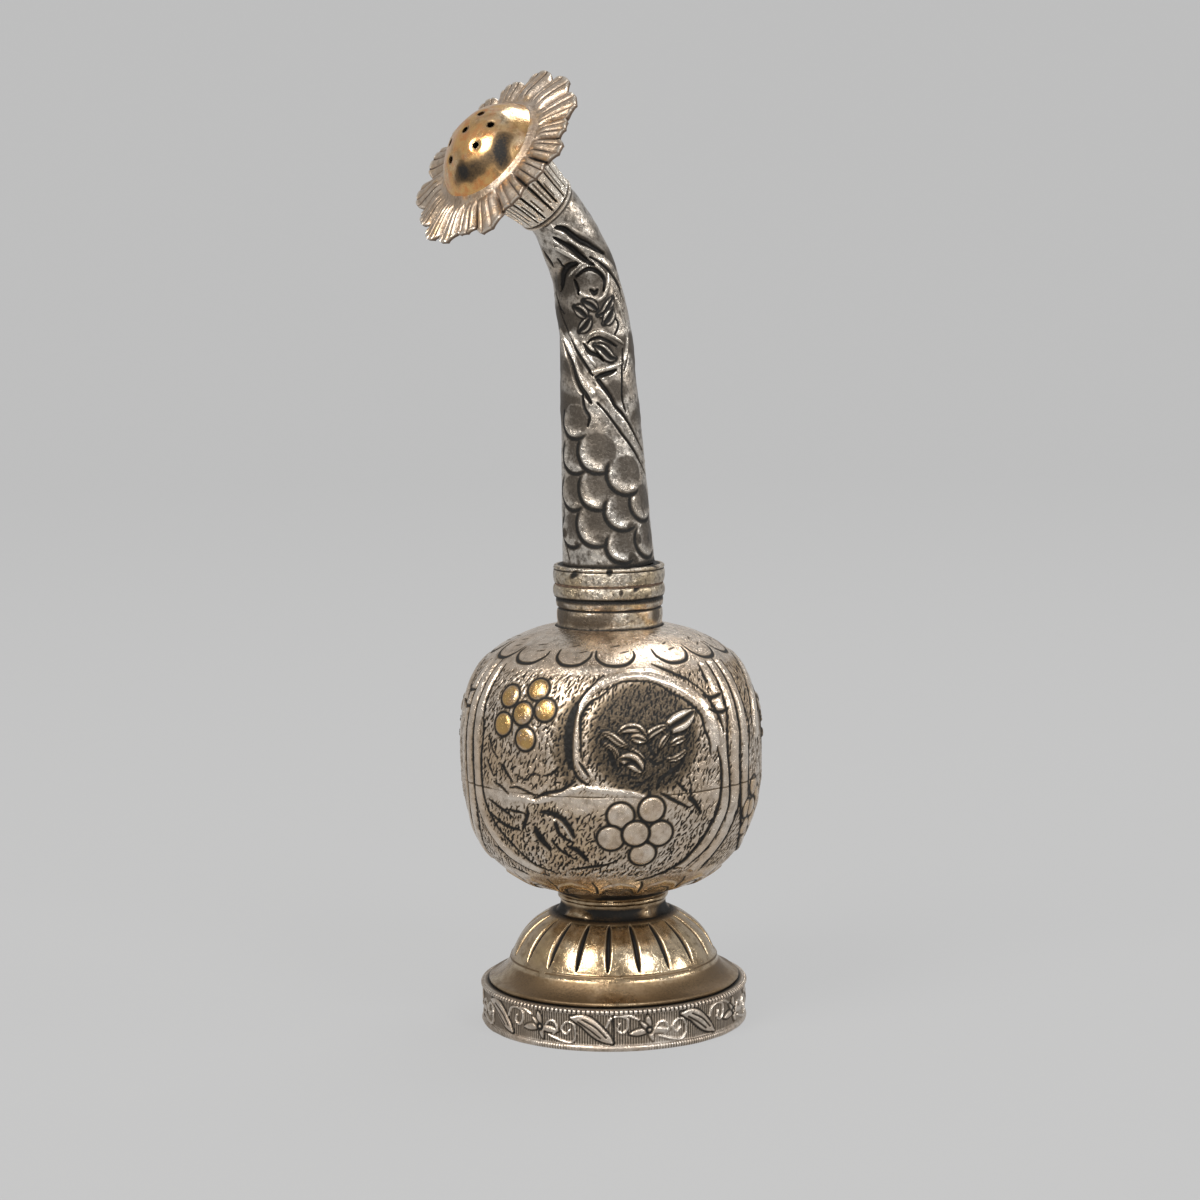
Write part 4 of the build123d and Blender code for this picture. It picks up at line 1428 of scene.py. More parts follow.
    def build(self) -> list[Piece]:
        """Builds both shells.

        Returns:
            The pieces.
        """
        face = BellyFace(self.radius, self.upper_half, self.lower_half, self.fullness, self.middle)
        upper = Chasing(face, self.columns, face.rows(-self.seam_drop + 0.03, self.top, self.upper_rows))
        lower = Chasing(face, self.columns, face.rows(self.bottom, -self.seam_drop - 0.03, self.lower_rows))
        for work in (lower, upper):
            self.chase(work)
        return [
            self.finish(self.cover(lower, "belly_lower_chased"), BELLY_SILVER, "belly_lower_shell"),
            self.finish(self.cover(upper, "belly_upper_chased"), BELLY_SILVER, "belly_upper_shell"),
        ]

    def chase(self, work: Chasing) -> None:
        """Works all the ornament into one shell.

        Args:
            work: the shell.
        """
        height = work.alongs[:, None] + np.zeros(work.height.shape)
        work.ground[:] = ramp(-24.5, -23.0, height) * (1 - ramp(18.8, 20.2, height))
        for k in range(self.panels):
            self.panel(work, self.panel_turn + FULL_TURN / self.panels * k, k == 1)
        self.shoulder(work)
        self.leaf_border(work)
        polished = bell(height, -6.2, 2.0) * work.patch(-1.0, 0.2, 8.0, 53)
        work.ground *= 1 - 0.75 * polished
        work.stipple(0.88, 0.3, 62.0, 5, 1.0)
        seam = bell(height, -self.seam_drop, 0.16) * work.patch(-0.4, 0.6, 6.0, 52)
        work.darken(0.6 * seam)
        work.height -= 0.08 * seam
        work.hammer(9.0, 0.11, 17)
        work.hammer(3.2, 0.035, 18)
        work.shade(9, 1.6)
        warm = work.patch(-0.5, 0.9, 13.0, 55)
        low = 1 - ramp(-26.0, -21.0, height)
        work.gilt[:] = np.maximum(work.gilt, np.maximum(0.42 * warm * work.ground, 0.75 * low * warm))

    def panel(self, work: Chasing, turn: float, mirrored: bool) -> None:
        """One panel, with the ribs that part it from the next.

        Args:
            work: the shell.
            turn: the angle of its middle.
            mirrored: whether it is flipped left to right.
        """
        for rib in self.frame_ribs:
            work.raise_band(rib.moved(turn))
        self.roundel(work, turn, mirrored)
        for rib in self.branch_ribs:
            work.raise_band(rib.moved(turn, mirrored), flat=0.2)
        for line in (*self.frame_lines, *self.shoulder_strokes):
            work.cut(Stroke(line.path, line.width + 0.15, line.depth).moved(turn))
        for twig in self.twigs:
            work.cut(twig.moved(turn, mirrored), 1.0, 0.22)
        sign = -1 if mirrored else 1
        for angle, along in self.gold_flower:
            work.raise_bead(turn + sign * angle, along, 2.5, 0.5, 1.0)
        for angle, along in self.pale_flower:
            work.raise_bead(turn + sign * angle, along, 2.85, 0.4, 0.2)
        if mirrored:
            for angle, along in self.far_flower:
                work.raise_bead(turn + angle, along, 2.2, 0.4, 0.4)

    def roundel(self, work: Chasing, turn: float, mirrored: bool) -> None:
        """The dished roundel with its rib and the sprig in it, a broad valley of painted shade beside the
        rib and a painted leaf shadow.
        """
        sign = -1 if mirrored else 1
        distance = work.distance(turn + sign * 16, 6.5)
        dish = np.clip(1 - (distance / 14.0) ** 2, 0, 1)
        work.height -= 0.55 * dish
        work.darken(0.62 * ramp(0.05, 0.5, dish) * work.ground)
        # painted shade: a broad soft valley beside the rib, darkened at half strength
        hollow = Stroke(((-13, -2.2), (-14.4, 2), (-14.6, 7), (-13, 11), (-9.5, 15)), 4.6, 0.45)
        work.cut(hollow.moved(turn, mirrored), 0.5, 0.0)
        for rib in self.roundel_rib:
            work.raise_band(rib.moved(turn, mirrored))
        for leaf in self.roundel_leaves:
            bold = Stroke(leaf.path, leaf.width * 1.35, leaf.depth + 0.12)
            work.raise_leaf(bold.moved(turn, mirrored))
            work.cut(Stroke(leaf.path, leaf.width * 0.5, 0.34).moved(turn, mirrored), 0.85)
        for line in (*self.roundel_lines, *self.roundel_cuts_and_shadow):
            work.cut(line.moved(turn, mirrored))

    def shoulder(self, work: Chasing) -> None:
        """The ring of open scallops round the neck, with small dashes in them."""
        spare = (FULL_TURN + self.scallops[0] - self.scallops[-1]) / 10
        centres = [*self.scallops, *(self.scallops[-1] + spare * k for k in range(1, 10))]
        random = np.random.default_rng(71)
        for centre in centres:
            turn = self.panel_turn + centre + random.uniform(-1, 1)
            wide, low = random.uniform(9.4, 11.0), random.uniform(20.6, 21.0)
            shape = ((-wide, low + 2.7), (-wide * 0.92, low + 1.4), (-wide * 0.5, low + 0.25), (0, low),
                     (wide * 0.5, low + 0.3), (wide * 0.9, low + 1.5), (wide * 0.96, low + 2.5))
            work.cut(Stroke(shape, 0.95, 0.45).moved(turn))
            for k in range(2):
                start = random.uniform(-5, 3)
                dash = ((start, low + 2.3 + k), (start + random.uniform(3, 6), low + 2.6 + k))
                work.cut(Stroke(dash, 0.5, 0.25).moved(turn), 0.8)

    def leaf_border(self, work: Chasing) -> None:
        """The ring of pointed leaves under the panels."""
        for k in range(15):
            turn = self.panel_turn - 6 + 24 * k
            for side in (-1, 1):
                rib = Stroke(((0, -28.9), (side * 4.5, -26.6), (side * 12, -25.6)), 1.5, 0.3, Ends.EVEN)
                work.raise_band(rib.moved(turn), 0.9)
                line = Stroke(((0, -29.6), (side * 5.4, -27.6), (side * 12, -26.8)), 0.6, 0.3)
                work.cut(line.moved(turn), 0.8)
            work.cut(Stroke(((0, -28.2), (0.4, -26.3), (-0.8, -24.9)), 0.55, 0.35).moved(turn))

    def cover(self, work: Chasing, name: str) -> Piece:
        """Closes one shell, kept inside the belly's own line.

        Args:
            work: the chased shell.
            name: of the piece.

        Returns:
            The piece.
        """
        ends = ramp(22.0, 25.5, work.alongs) + 1 - ramp(-30.0, -27.5, work.alongs)
        work.height = np.minimum(work.height, (self.proud * (1 - ends))[:, None])
        return work.sheet(name, self.wall, 6)


@dataclass
class Neck(SubAssembly):
    """The neck's sleeve, the mouth ring and the threaded bush inside them."""

    neck_radius: float = 11.4
    neck_z: float = 86.37
    mouth_z: float = 92.57
    washer_z: float = 95.32
    mouth_radius: float = 12.0
    groove_height: float = 3.92
    bore: float = 10.4
    thread_radius: float = 8.6

    def build(self) -> list[Piece]:
        """Builds the neck's pieces."""
        return [self.sleeve(), self.mouth(), self.bush()]

    def sleeve(self) -> Piece:
        """The sleeve, with a turned line, old dents and a painted shadow under the mouth ring."""
        radius = self.neck_radius
        low, high = self.neck_z, self.mouth_z
        outline = profile(
            ((radius + 0.2, low), (radius - 0.1, low + 1.1), -0.12, 6),
            ((radius - 0.08, low + 1.15), (radius - 0.1, low + 3.5), 0.1, 10),
            ((radius - 0.35, low + 3.75), (radius - 0.35, low + 4.1), -0.08, 5),
            ((radius - 0.08, low + 4.3), (radius - 0.02, high), 0.12, 8),
        )
        work, height = turned_work(outline, 420, 0.16)
        height -= low
        # the top band is painted shadow under the mouth ring's overhang; the line at the foot is a dark
        # joint on the belly
        lip, foot = 0.9 * ramp(4.9, 5.9, height), 0.9 * bell(height, 0, 0.5)
        line = bell(height, self.groove_height, 0.3) + lip + foot
        work.darken(np.clip(line, 0, 1)[:, None] * 0.9)
        patch = work.patch(-0.2, 1.0, 4.5, 61)
        work.darken(0.5 * patch)
        work.hammer(4.0, 0.1, 19)
        work.gilt[:] = 0.55 * work.patch(-0.3, 0.8, 6.0, 62)
        return self.finish(work.sheet("neck_sleeve_turned", 0.8, 5), NECK_SILVER, "neck_sleeve")

    def mouth(self) -> Piece:
        """The ring round the bottle's mouth."""
        radius = self.mouth_radius
        outline = profile(
            ((self.bore + 0.1, self.mouth_z + 0.02), (radius - 0.35, self.mouth_z + 0.05), 0.02, 5),
            ((radius - 0.3, self.mouth_z + 0.1), (radius - 0.12, self.washer_z - 0.3), 0.24, 12),
            ((radius - 0.16, self.washer_z - 0.22), (radius - 0.45, self.washer_z), 0.05, 4),
        )
        work, height = turned_work(outline, 480, 0.15)
        height -= self.mouth_z
        work.darken(0.9 * (1 - ramp(0.1, 0.7, height))[:, None])
        wear(work, 63, 0.14)
        return self.finish(work.sheet("mouth_ring_worn", 0.9, 4), NECK_SILVER, "mouth_ring")

    def bush(self) -> Piece:
        """The threaded bush, its screw cut inside."""
        height = self.washer_z - self.neck_z
        rings = screw(self.thread_radius, self.neck_z + 0.02, height - 0.05, self.bore - 0.1, False)
        piece = closed_sheet("neck_thread_bush_cut", rings, even_oxide(rings, 0.6))
        return self.finish(piece, NECK_SILVER, "neck_thread_bush")


def wear(work: Chasing, seed: int, depth: float) -> None:
    """Old knocks on a plain ring: shallow dents, and oxide caught in them.

    Args:
        work: the ring.
        seed: which scatter.
        depth: of the dents.
    """
    dents = work.patch(0.3, 1.3, 1.6, seed)
    work.height -= depth * dents
    work.darken(0.85 * dents * work.patch(-0.6, 0.6, 5.0, seed + 1))
    work.hammer(3.0, 0.04, seed + 2)


def screw(crest: float, low: float, height: float, back: float, outside: bool) -> Array:
    """Rings of a right-handed screw thread and of the plain wall behind it.

    Args:
        crest: the thread's crest radius.
        low: the height where it starts.
        height: how tall it is.
        back: the radius of the plain wall behind.
        outside: whether the thread is on the outside.

    Returns:
        The rings, for closed_sheet.
    """
    angles = np.linspace(0, FULL_TURN, PLAIN_COLUMNS, endpoint=False)
    levels = np.linspace(0, height, int(height / 0.12))[:, None]
    phase = levels / THREAD_PITCH - angles[None, :] / FULL_TURN
    wave = np.clip(np.abs((phase % 1) - 0.5) * 3 - 0.25, 0, 1)
    runout = np.minimum(ramp(0, 0.5, levels), 1 - ramp(height - 0.5, height, levels))
    cut = THREAD_DEPTH * (1 - (1 - wave) * runout)
    radius = crest - cut if outside else crest + cut
    turn = np.radians(angles)[None, :]
    worked = np.stack([radius * np.cos(turn), radius * np.sin(turn), low + levels + 0 * turn], -1)
    walls = low + np.array([[0.0], [height]])
    plain = np.stack(np.broadcast_arrays(back * np.cos(turn), back * np.sin(turn), walls), -1)
    return np.concatenate([worked, plain[::-1]]) if outside else np.concatenate([worked[::-1], plain])


@dataclass
class Spout(SubAssembly):
    """The plug, the ring and the chased tube of the spout."""

    ring_radius: float = 12.0
    washer_top: float = 95.72
    tube_z: float = 99.53
    plug_low: float = 90.32
    plug_bore: float = 7.3
    thread_radius: float = 8.5
    run_height: float = 47.5
    run_lean: float = 2.7
    bend_height: float = 28.5
    bend_reach: float = 12.4
    bend_shares: Path = ((0.115, 0.26), (0.25, 0.5), (0.52, 0.735), (1.0, 1.0))
    width_shares: Path = ((0.0, 1.0), (0.28, 0.79), (0.5, 0.53), (0.75, 0.26), (1.0, 0.0))
    radii: tuple[float, float, float] = (9.95, 7.85, 5.95)
    head_elevation: float = 36.0
    columns: int = 280
    rows: int = 330
    body: Body = Body.SPOUT

    scales: tuple[tuple[float, float, float], ...] = (
        (-52, 8.6, 3.6), (-14, 9.6, 4.3), (-48, 16.6, 3.7), (-9, 17.2, 4.2), (-42, 24.4, 3.7),
        (-40, 31.7, 3.6), (20, 4.8, 3.4), (24, 12.2, 3.9), (62, 5.6, 3.8), (-6, 25.0, 4.3),
        (60, 13.6, 3.9), (33, 19.9, 4.2),
    )
    tube_ribs: tuple[Stroke, ...] = strokes(
        (((0, 38), (15, 35), (23, 32.6), (35, 30.6), (50, 26.9), (62, 24.2), (76, 21.8)), 1.9, 0.3,
         Ends.EVEN),
        (((-66, 51.6), (-55, 48.2), (-42, 45.4), (-30, 41.4), (-20, 39.2), (-10, 37.2)), 1.7, 0.36,
         Ends.EVEN),
        (((-20, 79), (-8, 76.0), (4, 73.4), (14, 71.0), (26, 68.0)), 1.7, 0.42, Ends.EVEN),
        (((-32, 72.4), (-18, 70.6), (-4, 68.6), (8, 66.6)), 1.2, 0.34, Ends.POINTED),
        (((22, 69.5), (36, 65.8), (48, 64.6), (60, 62.6), (72, 58.5)), 2.2, 0.34, Ends.EVEN),
        (((-22, 64.6), (-12, 65.6), (2, 66.3), (15, 66.2), (29, 64.8), (37, 61.8), (30, 58.9)), 0.95,
         0.4),
        (((-16, 60.0), (-2, 58.4), (12, 57.3), (26, 57.8), (38, 59.6), (46, 62.0)), 1.15, 0.42),
        (((-14, 49.3), (-7, 50.4), (5, 50.8), (17, 50.0), (35, 48.3), (46, 47.2)), 1.0, 0.4),
        (((-17, 46.2), (-11, 44.6), (-3, 43.0)), 0.9, 0.4),
        (((-14, 41.5), (2, 42.0), (20, 42.5), (40, 43.2)), 1.25, 0.5),
        (((50, 56.5), (57, 53), (57, 48), (50, 44.6), (43, 43.2)), 1.1, 0.34, Ends.EVEN),
        (((-42, 51.0), (-31, 47.6), (-20, 45.2), (-8, 42.6)), 1.2, 0.3, Ends.EVEN),
    )
    tube_leaves: tuple[Stroke, ...] = strokes(
        (((-26, 56.6), (-17, 55.8), (-7, 54.2)), 1.7, 0.42),
        (((-9, 57.6), (2, 56.6), (11, 55.2)), 1.5, 0.42),
        (((10, 54.2), (22, 54.4), (32, 55.6), (44, 57.0)), 1.5, 0.4),
        (((-25, 51.4), (-14, 52.4), (-3, 54.0)), 1.6, 0.42),
        (((17, 52.2), (26, 53.0), (38, 54.6)), 1.9, 0.42),
        (((-2, 47.3), (8, 46.4), (20, 44.6), (30, 44.2)), 1.7, 0.4),
    )
    tube_lines: tuple[Stroke, ...] = strokes(
        (((0, 40), (15, 36.8), (23, 34.3), (35, 32.5), (50, 29), (62, 26.5), (76, 24.1)), 0.85, 0.5,
         Ends.TAIL),
        (((-3, 35.2), (8, 33.3), (20, 30.7), (30, 28.5), (38, 27), (50, 24.6), (65, 21.5), (78, 19)), 0.6,
         0.4),
        (((45, 46), (40, 41.0), (36, 35.8), (41, 33)), 0.5, 0.35),
        (((-66, 50), (-55, 46.5), (-42, 43.5), (-30, 39), (-20, 37), (-12, 35.2)), 1.2, 0.7),
        (((-42, 49), (-31, 46), (-20, 43.7), (-8, 41)), 0.7, 0.45),
        (((-25, 37), (-23, 34.3), (-16, 32.3), (-19, 30.4)), 0.7, 0.4),
        (((-8, 77), (5, 75.3), (12, 73.2), (22, 71), (33, 69.5), (45, 67.6), (60, 65.5)), 1.3, 0.7),
        (((-22, 74.5), (-12, 72.5), (0, 70.5), (8, 68.5), (17, 66.3), (25, 65)), 1.2, 0.65),
        (((24, 67), (34, 65.4), (45, 63.5), (55, 61.5), (65, 59), (74, 55.5)), 0.5, 0.35),
        (((-13, 63.9), (2, 64.6), (15, 64.6), (28, 63.2), (35, 61), (28, 58.9)), 0.8, 0.55),
        (((6, 59.8), (12, 58.8), (18, 59.4)), 0.9, 0.5),
        (((-2, 66.9), (-18, 66.9), (-33, 65.7), (-42, 63.5), (-48, 60.8)), 1.5, 0.7),
        (((-34, 69.2), (-28, 66.8)), 0.5, 0.3),
        (((-16.5, 63.2), (-15.5, 61.2), (-15, 59.2)), 0.7, 0.5),
        (((-65, 71.5), (-52, 67.6)), 1.1, 0.5),
        (((40, 53), (43, 51), (32, 49.3)), 0.55, 0.4),
        (((-13, 48.0), (-7, 48.9), (5, 49.2), (15, 48.4), (33, 46.7)), 0.65, 0.45),
        (((-20, 47.7), (-11, 46), (3, 45), (10, 43.9)), 0.8, 0.5),
        (((-4, 40.6), (8, 41.0), (20, 41.4), (30, 41.8)), 0.85, 0.55),
        (((54, 57), (60, 53), (60, 48), (53, 43.6), (45, 41.6)), 0.6, 0.4),
        (((-70, 8), (-66, 5), (-60, 2)), 0.45, 0.3),
        (((-66, 60), (-58, 57), (-50, 55.4)), 0.5, 0.3),
        (((-60, 57), (-48, 52), (-38, 48.5)), 0.45, 0.3),
    )

    def build(self) -> list[Piece]:
        """Builds the spout's lower pieces."""
        return [self.plug(), self.ring(), self.tube()]

    def plug(self) -> Piece:
        """The threaded plug that screws into the neck."""
        height = self.washer_top - self.plug_low
        rings = screw(self.thread_radius, self.plug_low, height, self.plug_bore, True)
        piece = closed_sheet("spout_thread_plug_cut", rings, even_oxide(rings, 0.45))
        return self.finish(piece, NECK_SILVER, "spout_thread_plug")

    def ring(self) -> Piece:
        """The ring at the spout's foot, with a thin lip at its top."""
        radius = self.ring_radius
        low, high = self.washer_top, self.tube_z
        outline = profile(
            ((self.plug_bore + 0.5, low), (radius - 0.3, low + 0.02), 0.02, 4),
            ((radius - 0.22, low + 0.1), (radius - 0.12, high - 0.95), 0.18, 12),
            ((radius - 0.2, high - 0.8), (radius - 0.2, high - 0.1), 0.17, 7),
            ((radius - 0.35, high - 0.02), (self.radii[0] - 0.3, high - 0.02), 0.02, 4),
        )
        work, height = turned_work(outline, 480, 0.15)
        height -= low
        radial = np.interp(work.alongs, work.face.lengths, outline[:, 0])
        groove = bell(height, high - low - 0.88, 0.13) * (radial > radius - 1)
        inside = 1 - ramp(radius - 1.3, radius - 0.6, radial)
        work.darken(np.maximum(groove, inside)[:, None] * 0.9)
        work.height -= 0.1 * groove[:, None]
        wear(work, 65, 0.16)
        return self.finish(work.sheet("spout_ring_worn", 0.8, 4), NECK_SILVER, "spout_ring")

    def face(self) -> TubeFace:
        """The tube's plain face."""
        base = np.array([0.0, 0.0, self.tube_z])
        lean = np.array([0.0, -self.run_lean, self.run_height])
        bend = base + lean + np.array([(0, -self.bend_reach * out, self.bend_height * up)
                                       for out, up in self.bend_shares])
        tilt = math.radians(self.head_elevation)
        head = np.array([0.0, -math.cos(tilt), math.sin(tilt)])
        return TubeFace(base, lean, bend, head, self.radii, self.width_shares)

    def tube(self) -> Piece:
        """The tube, with its scales, its ribbon and its sprig, on both sides."""
        face = self.face()
        work = Chasing(face, self.columns, np.linspace(0.03, face.length - 0.02, self.rows))
        field = ramp(27, 33, work.alongs) * (1 - ramp(70, 78, work.alongs))
        stain = work.patch(-0.9, 0.7, 5.5, 74)
        work.oxide[:] = (0.16 + 0.30 * field)[:, None] * stain
        for turn in (FRONT + 180.0, FRONT):
            for angle, along, radius in self.scales:
                work.raise_scale(turn + angle, along, radius)
            for rib in self.tube_ribs:
                work.raise_band(rib.moved(turn), flat=0.3)
            for leaf in self.tube_leaves:
                work.raise_leaf(Stroke(leaf.path, leaf.width * 1.4, leaf.depth + 0.1).moved(turn))
                work.cut(Stroke(leaf.path, leaf.width * 0.62, 0.5).moved(turn))
            for line in self.tube_lines:
                work.cut(line.moved(turn), 1.0, 0.25)
        work.hammer(5.0, 0.12, 23)
        work.hammer(1.9, 0.04, 24)
        work.shade(10, 1.8)
        foot = (1 - ramp(0.3, 1.8, work.alongs))[:, None]
        grime = work.patch(0.2, 1.2, 2.2, 73) * (1 - ramp(4, 26, work.alongs))[:, None]
        work.darken(np.maximum(0.8 * foot, 0.6 * grime))
        top = ramp(face.length - 1.0, face.length, work.alongs)[:, None]
        work.darken(0.8 * top)
        return self.finish(work.sheet("spout_tube_chased", 0.8, 40, sink=0.12), TUBE_SILVER, "spout_tube")


@dataclass
class Head(SubAssembly):
    """The fluted calyx, the ring of petals and the pierced dome."""

    tilt: float = 54.0
    origin: tuple[float, float, float] = (0.0, -15.1, 175.53)
    calyx_rim: float = 6.6
    calyx_top: float = 10.3
    calyx_length: float = 17.7
    flutes: int = 20
    petal_angles: tuple[float, ...] = (
        3, 20, 37, 63, 90, 113, 135, 157, 180, 208, 231, 252, 269, 284, 301, 325, 344,
    )
    petal_shares: tuple[float, ...] = (
        0.97, 0.92, 1, 0.99, 1, 0.93, 0.93, 0.94, 0.97, 1, 0.95, 0.99, 0.99, 0.93, 1, 0.93, 0.92,
    )
    petal_ribs: tuple[int, ...] = (3,) * 5 + (4,) * 7 + (3,) * 5
    petal_radius: float = 21.9
    notch_depth: float = 2.6
    petal_drop: float = 2.2
    petal_thickness: float = 0.85
    hole_radius: float = 9.3
    flat_radius: float = 12.6
    rose_radius: float = 11.8
    rose_height: float = 7.4
    rose_wall: float = 0.8
    spray_hole: float = 0.75
    drill_sides: int = 24
    ring_angles: tuple[float, ...] = (21.0, 77.0, 139.0, 201.0, 252.0, 326.0)
    ring_tilts: tuple[float, ...] = (27.0, 21.0, 25.0, 25.0, 30.0, 26.0)
    stains: tuple[tuple[float, float, float, float], ...] = (
        (346, 49, 3.2, 1.0), (332, 42, 2.6, 0.85), (279, 38, 2.3, 1.0), (305, 43, 2.8, 0.75),
    )
    body: Body = Body.SPOUT
    about: HeadFrame = field(init=False)

    def __post_init__(self) -> None:
        """Sets the axis that the head is built about."""
        self.about = HeadFrame(self.origin, self.tilt)

    def build(self) -> list[Piece]:
        """Builds the head's pieces."""
        return [self.calyx(), self.petals(), self.rose()]

    def calyx(self) -> Piece:
        """The cup under the petals, with its long narrow flutes, in a copy of the silver painted lighter
        against the petals' shade.
        """
        foot = self.calyx_rim
        outline = np.vstack([
            arc_points((6.0, 0.02), (foot, 0.3), 0.08, 5),
            arc_points((foot, 0.35), (foot, 0.95), 0.12, 6)[1:],
            arc_points((foot - 0.05, 1.1), (self.calyx_top - 0.1, self.calyx_length - 0.05), -0.5, 40),
        ])
        work, _ = turned_work(outline, 520, 0.24, self.about)
        rim = 1.9
        top = work.alongs[-1] - 0.6
        random = np.random.default_rng(81)
        for k in range(self.flutes):
            turn = FULL_TURN / self.flutes * (k + 0.5) + random.uniform(-1.6, 1.6)
            start = rim + random.uniform(0.0, 1.5)
            work.cut(Stroke(((turn, start), (turn + 0.6, 9.0), (turn, top)), 0.5, 0.4), 0.9, 0.45)
            beside = turn + random.uniform(5, 8)
            finish = random.uniform(8.0, 13.5)
            work.cut(Stroke(((beside, start + 1.5), (beside + 0.5, finish)), 0.35, 0.2), 0.55, 0.4)
        round_it = tuple((angle, rim - 0.25) for angle in range(0, 361, 24))
        work.cut(Stroke(round_it, 0.4, 0.25, Ends.EVEN), 0.9, 0.4)
        work.hammer(4.0, 0.06, 25)
        work.shade(6, 0.4)
        return self.finish(work.sheet("calyx_cup_fluted", 0.8, 8), CALYX_SILVER_LIGHTENED, "calyx_cup")

    def reach(self, angles: Array) -> tuple[Array, Array, Array]:
        """The petals' edge.

        Args:
            angles: degrees round the head's axis.

        Returns:
            The edge's radius, the place across the petal from -1 to 1, and the petal's number.
        """
        tips, shares = np.array(self.petal_angles, float), np.array(self.petal_shares)
        before = (np.roll(tips, 1) - tips + 180) % FULL_TURN - 180
        after = (np.roll(tips, -1) - tips + 180) % FULL_TURN - 180
        low, high = before / 2, after / 2
        offset = (angles[:, None] - tips[None, :] + 180) % FULL_TURN - 180
        inside = (offset >= low) & (offset < high)
        number = inside.argmax(1)
        here = offset[np.arange(len(angles)), number]
        across = np.where(here < 0, -here / low[number], here / high[number])
        neighbour = np.where(here < 0, np.roll(shares, 1)[number], np.roll(shares, -1)[number])
        notch = self.petal_radius * (shares[number] + neighbour) / 2 - self.notch_depth
        tip = self.petal_radius * shares[number]
        bow = (1 - np.abs(across) ** 2.3) ** 0.75
        return notch + (tip - notch) * bow, across, number

    def petals(self) -> Piece:
        """The ring of petals, ribbed and wavy, with a smooth trough round the dome."""
        columns, top_rows, under_rows = 850, 58, 12
        angles = np.linspace(0, FULL_TURN, columns, endpoint=False)
        edge, across, number = self.reach(angles)
        shares = np.linspace(0, 1, top_rows)[:, None]
        radius = self.hole_radius + (edge - self.hole_radius)[None, :] * shares
        out = ramp(self.flat_radius, self.flat_radius + 3.2, radius)
        ribs = np.array(self.petal_ribs)[number]
        phase = (across + 1) / 2 * ribs + 0.5
        rib = (1 - 2 * bell(phase % 1, 0.5, 0.16))[None, :]
        valley = bell(np.abs(across), 1, 0.2)[None, :]
        crown = (1 - np.abs(across) ** 2)[None, :]
        wave = ripple(np.stack([radius * np.cos(np.radians(angles)), radius * np.sin(np.radians(angles)),
                                0 * radius], -1), 9.0, 27)
        rise = self.calyx_length + self.petal_thickness
        spread = (radius - self.flat_radius) / (self.petal_radius - self.flat_radius)
        fall = self.petal_drop * np.clip(spread, 0, 1)
        trough = 0.25 * bell(radius - self.rose_radius, 0.9, 0.8)
        relief = 0.13 * rib + 0.45 * crown - 0.7 * valley - 0.15
        face = rise - fall - trough + out * relief + 0.3 * out * wave
        lip = 0.22 * bell(shares, 1, 0.05) * out
        face = np.minimum(face + lip, rise + 0.25)
        fillet = 1 - ramp(self.rose_radius - 0.6, self.rose_radius + 1.6, radius)
        face += 0.6 * fillet * ramp(self.rose_radius - 1.3, self.rose_radius - 0.7, radius)
        inward = np.linspace(1, 0, under_rows)[:, None]
        under_radius = self.hole_radius + (edge - 0.1 - self.hole_radius)[None, :] * inward
        picks = np.linspace(top_rows - 1, 0, under_rows).round().astype(int)
        under = face[picks] - self.petal_thickness
        side = np.stack([edge + 0.06, face[-1] - self.petal_thickness / 2])
        radii = np.vstack([radius, side[:1], under_radius])
        heights = np.vstack([face, side[1:], under])
        turn = np.radians(angles)[None, :]
        rings = np.stack([radii * np.cos(turn), radii * np.sin(turn), heights], -1)
        oxide = out * (1.1 * np.clip(-rib, 0, 1) + 0.9 * valley**2) * (1 - 0.35 * shares)
        scatter = ramp(-0.6, 0.9, ripple(rings[:top_rows], 6.0, 83))
        oxide = np.clip(oxide * (0.5 + 0.5 * scatter) + 0.35 * bell(radius, 12.3, 0.7) * scatter, 0, 1)
        rub = np.clip(out * np.clip(rib, 0, 1) * 0.25 + bell(shares, 1, 0.035), 0, 1)
        extra = (1 + under_rows, columns)
        masks = {
            Mask.OXIDE: np.vstack([oxide, np.full(extra, 0.45)]),
            Mask.RUB: np.vstack([rub + 0 * radius, np.zeros(extra)]),
            Mask.GILT: np.vstack([np.maximum(0.6 * scatter, fillet), np.zeros(extra)]),
            Mask.GROUND: np.zeros(radii.shape),
        }
        piece = closed_sheet("petal_collar_chased", self.about.out(rings), masks)
        return self.finish(piece, PETAL_GILT, "petal_collar")

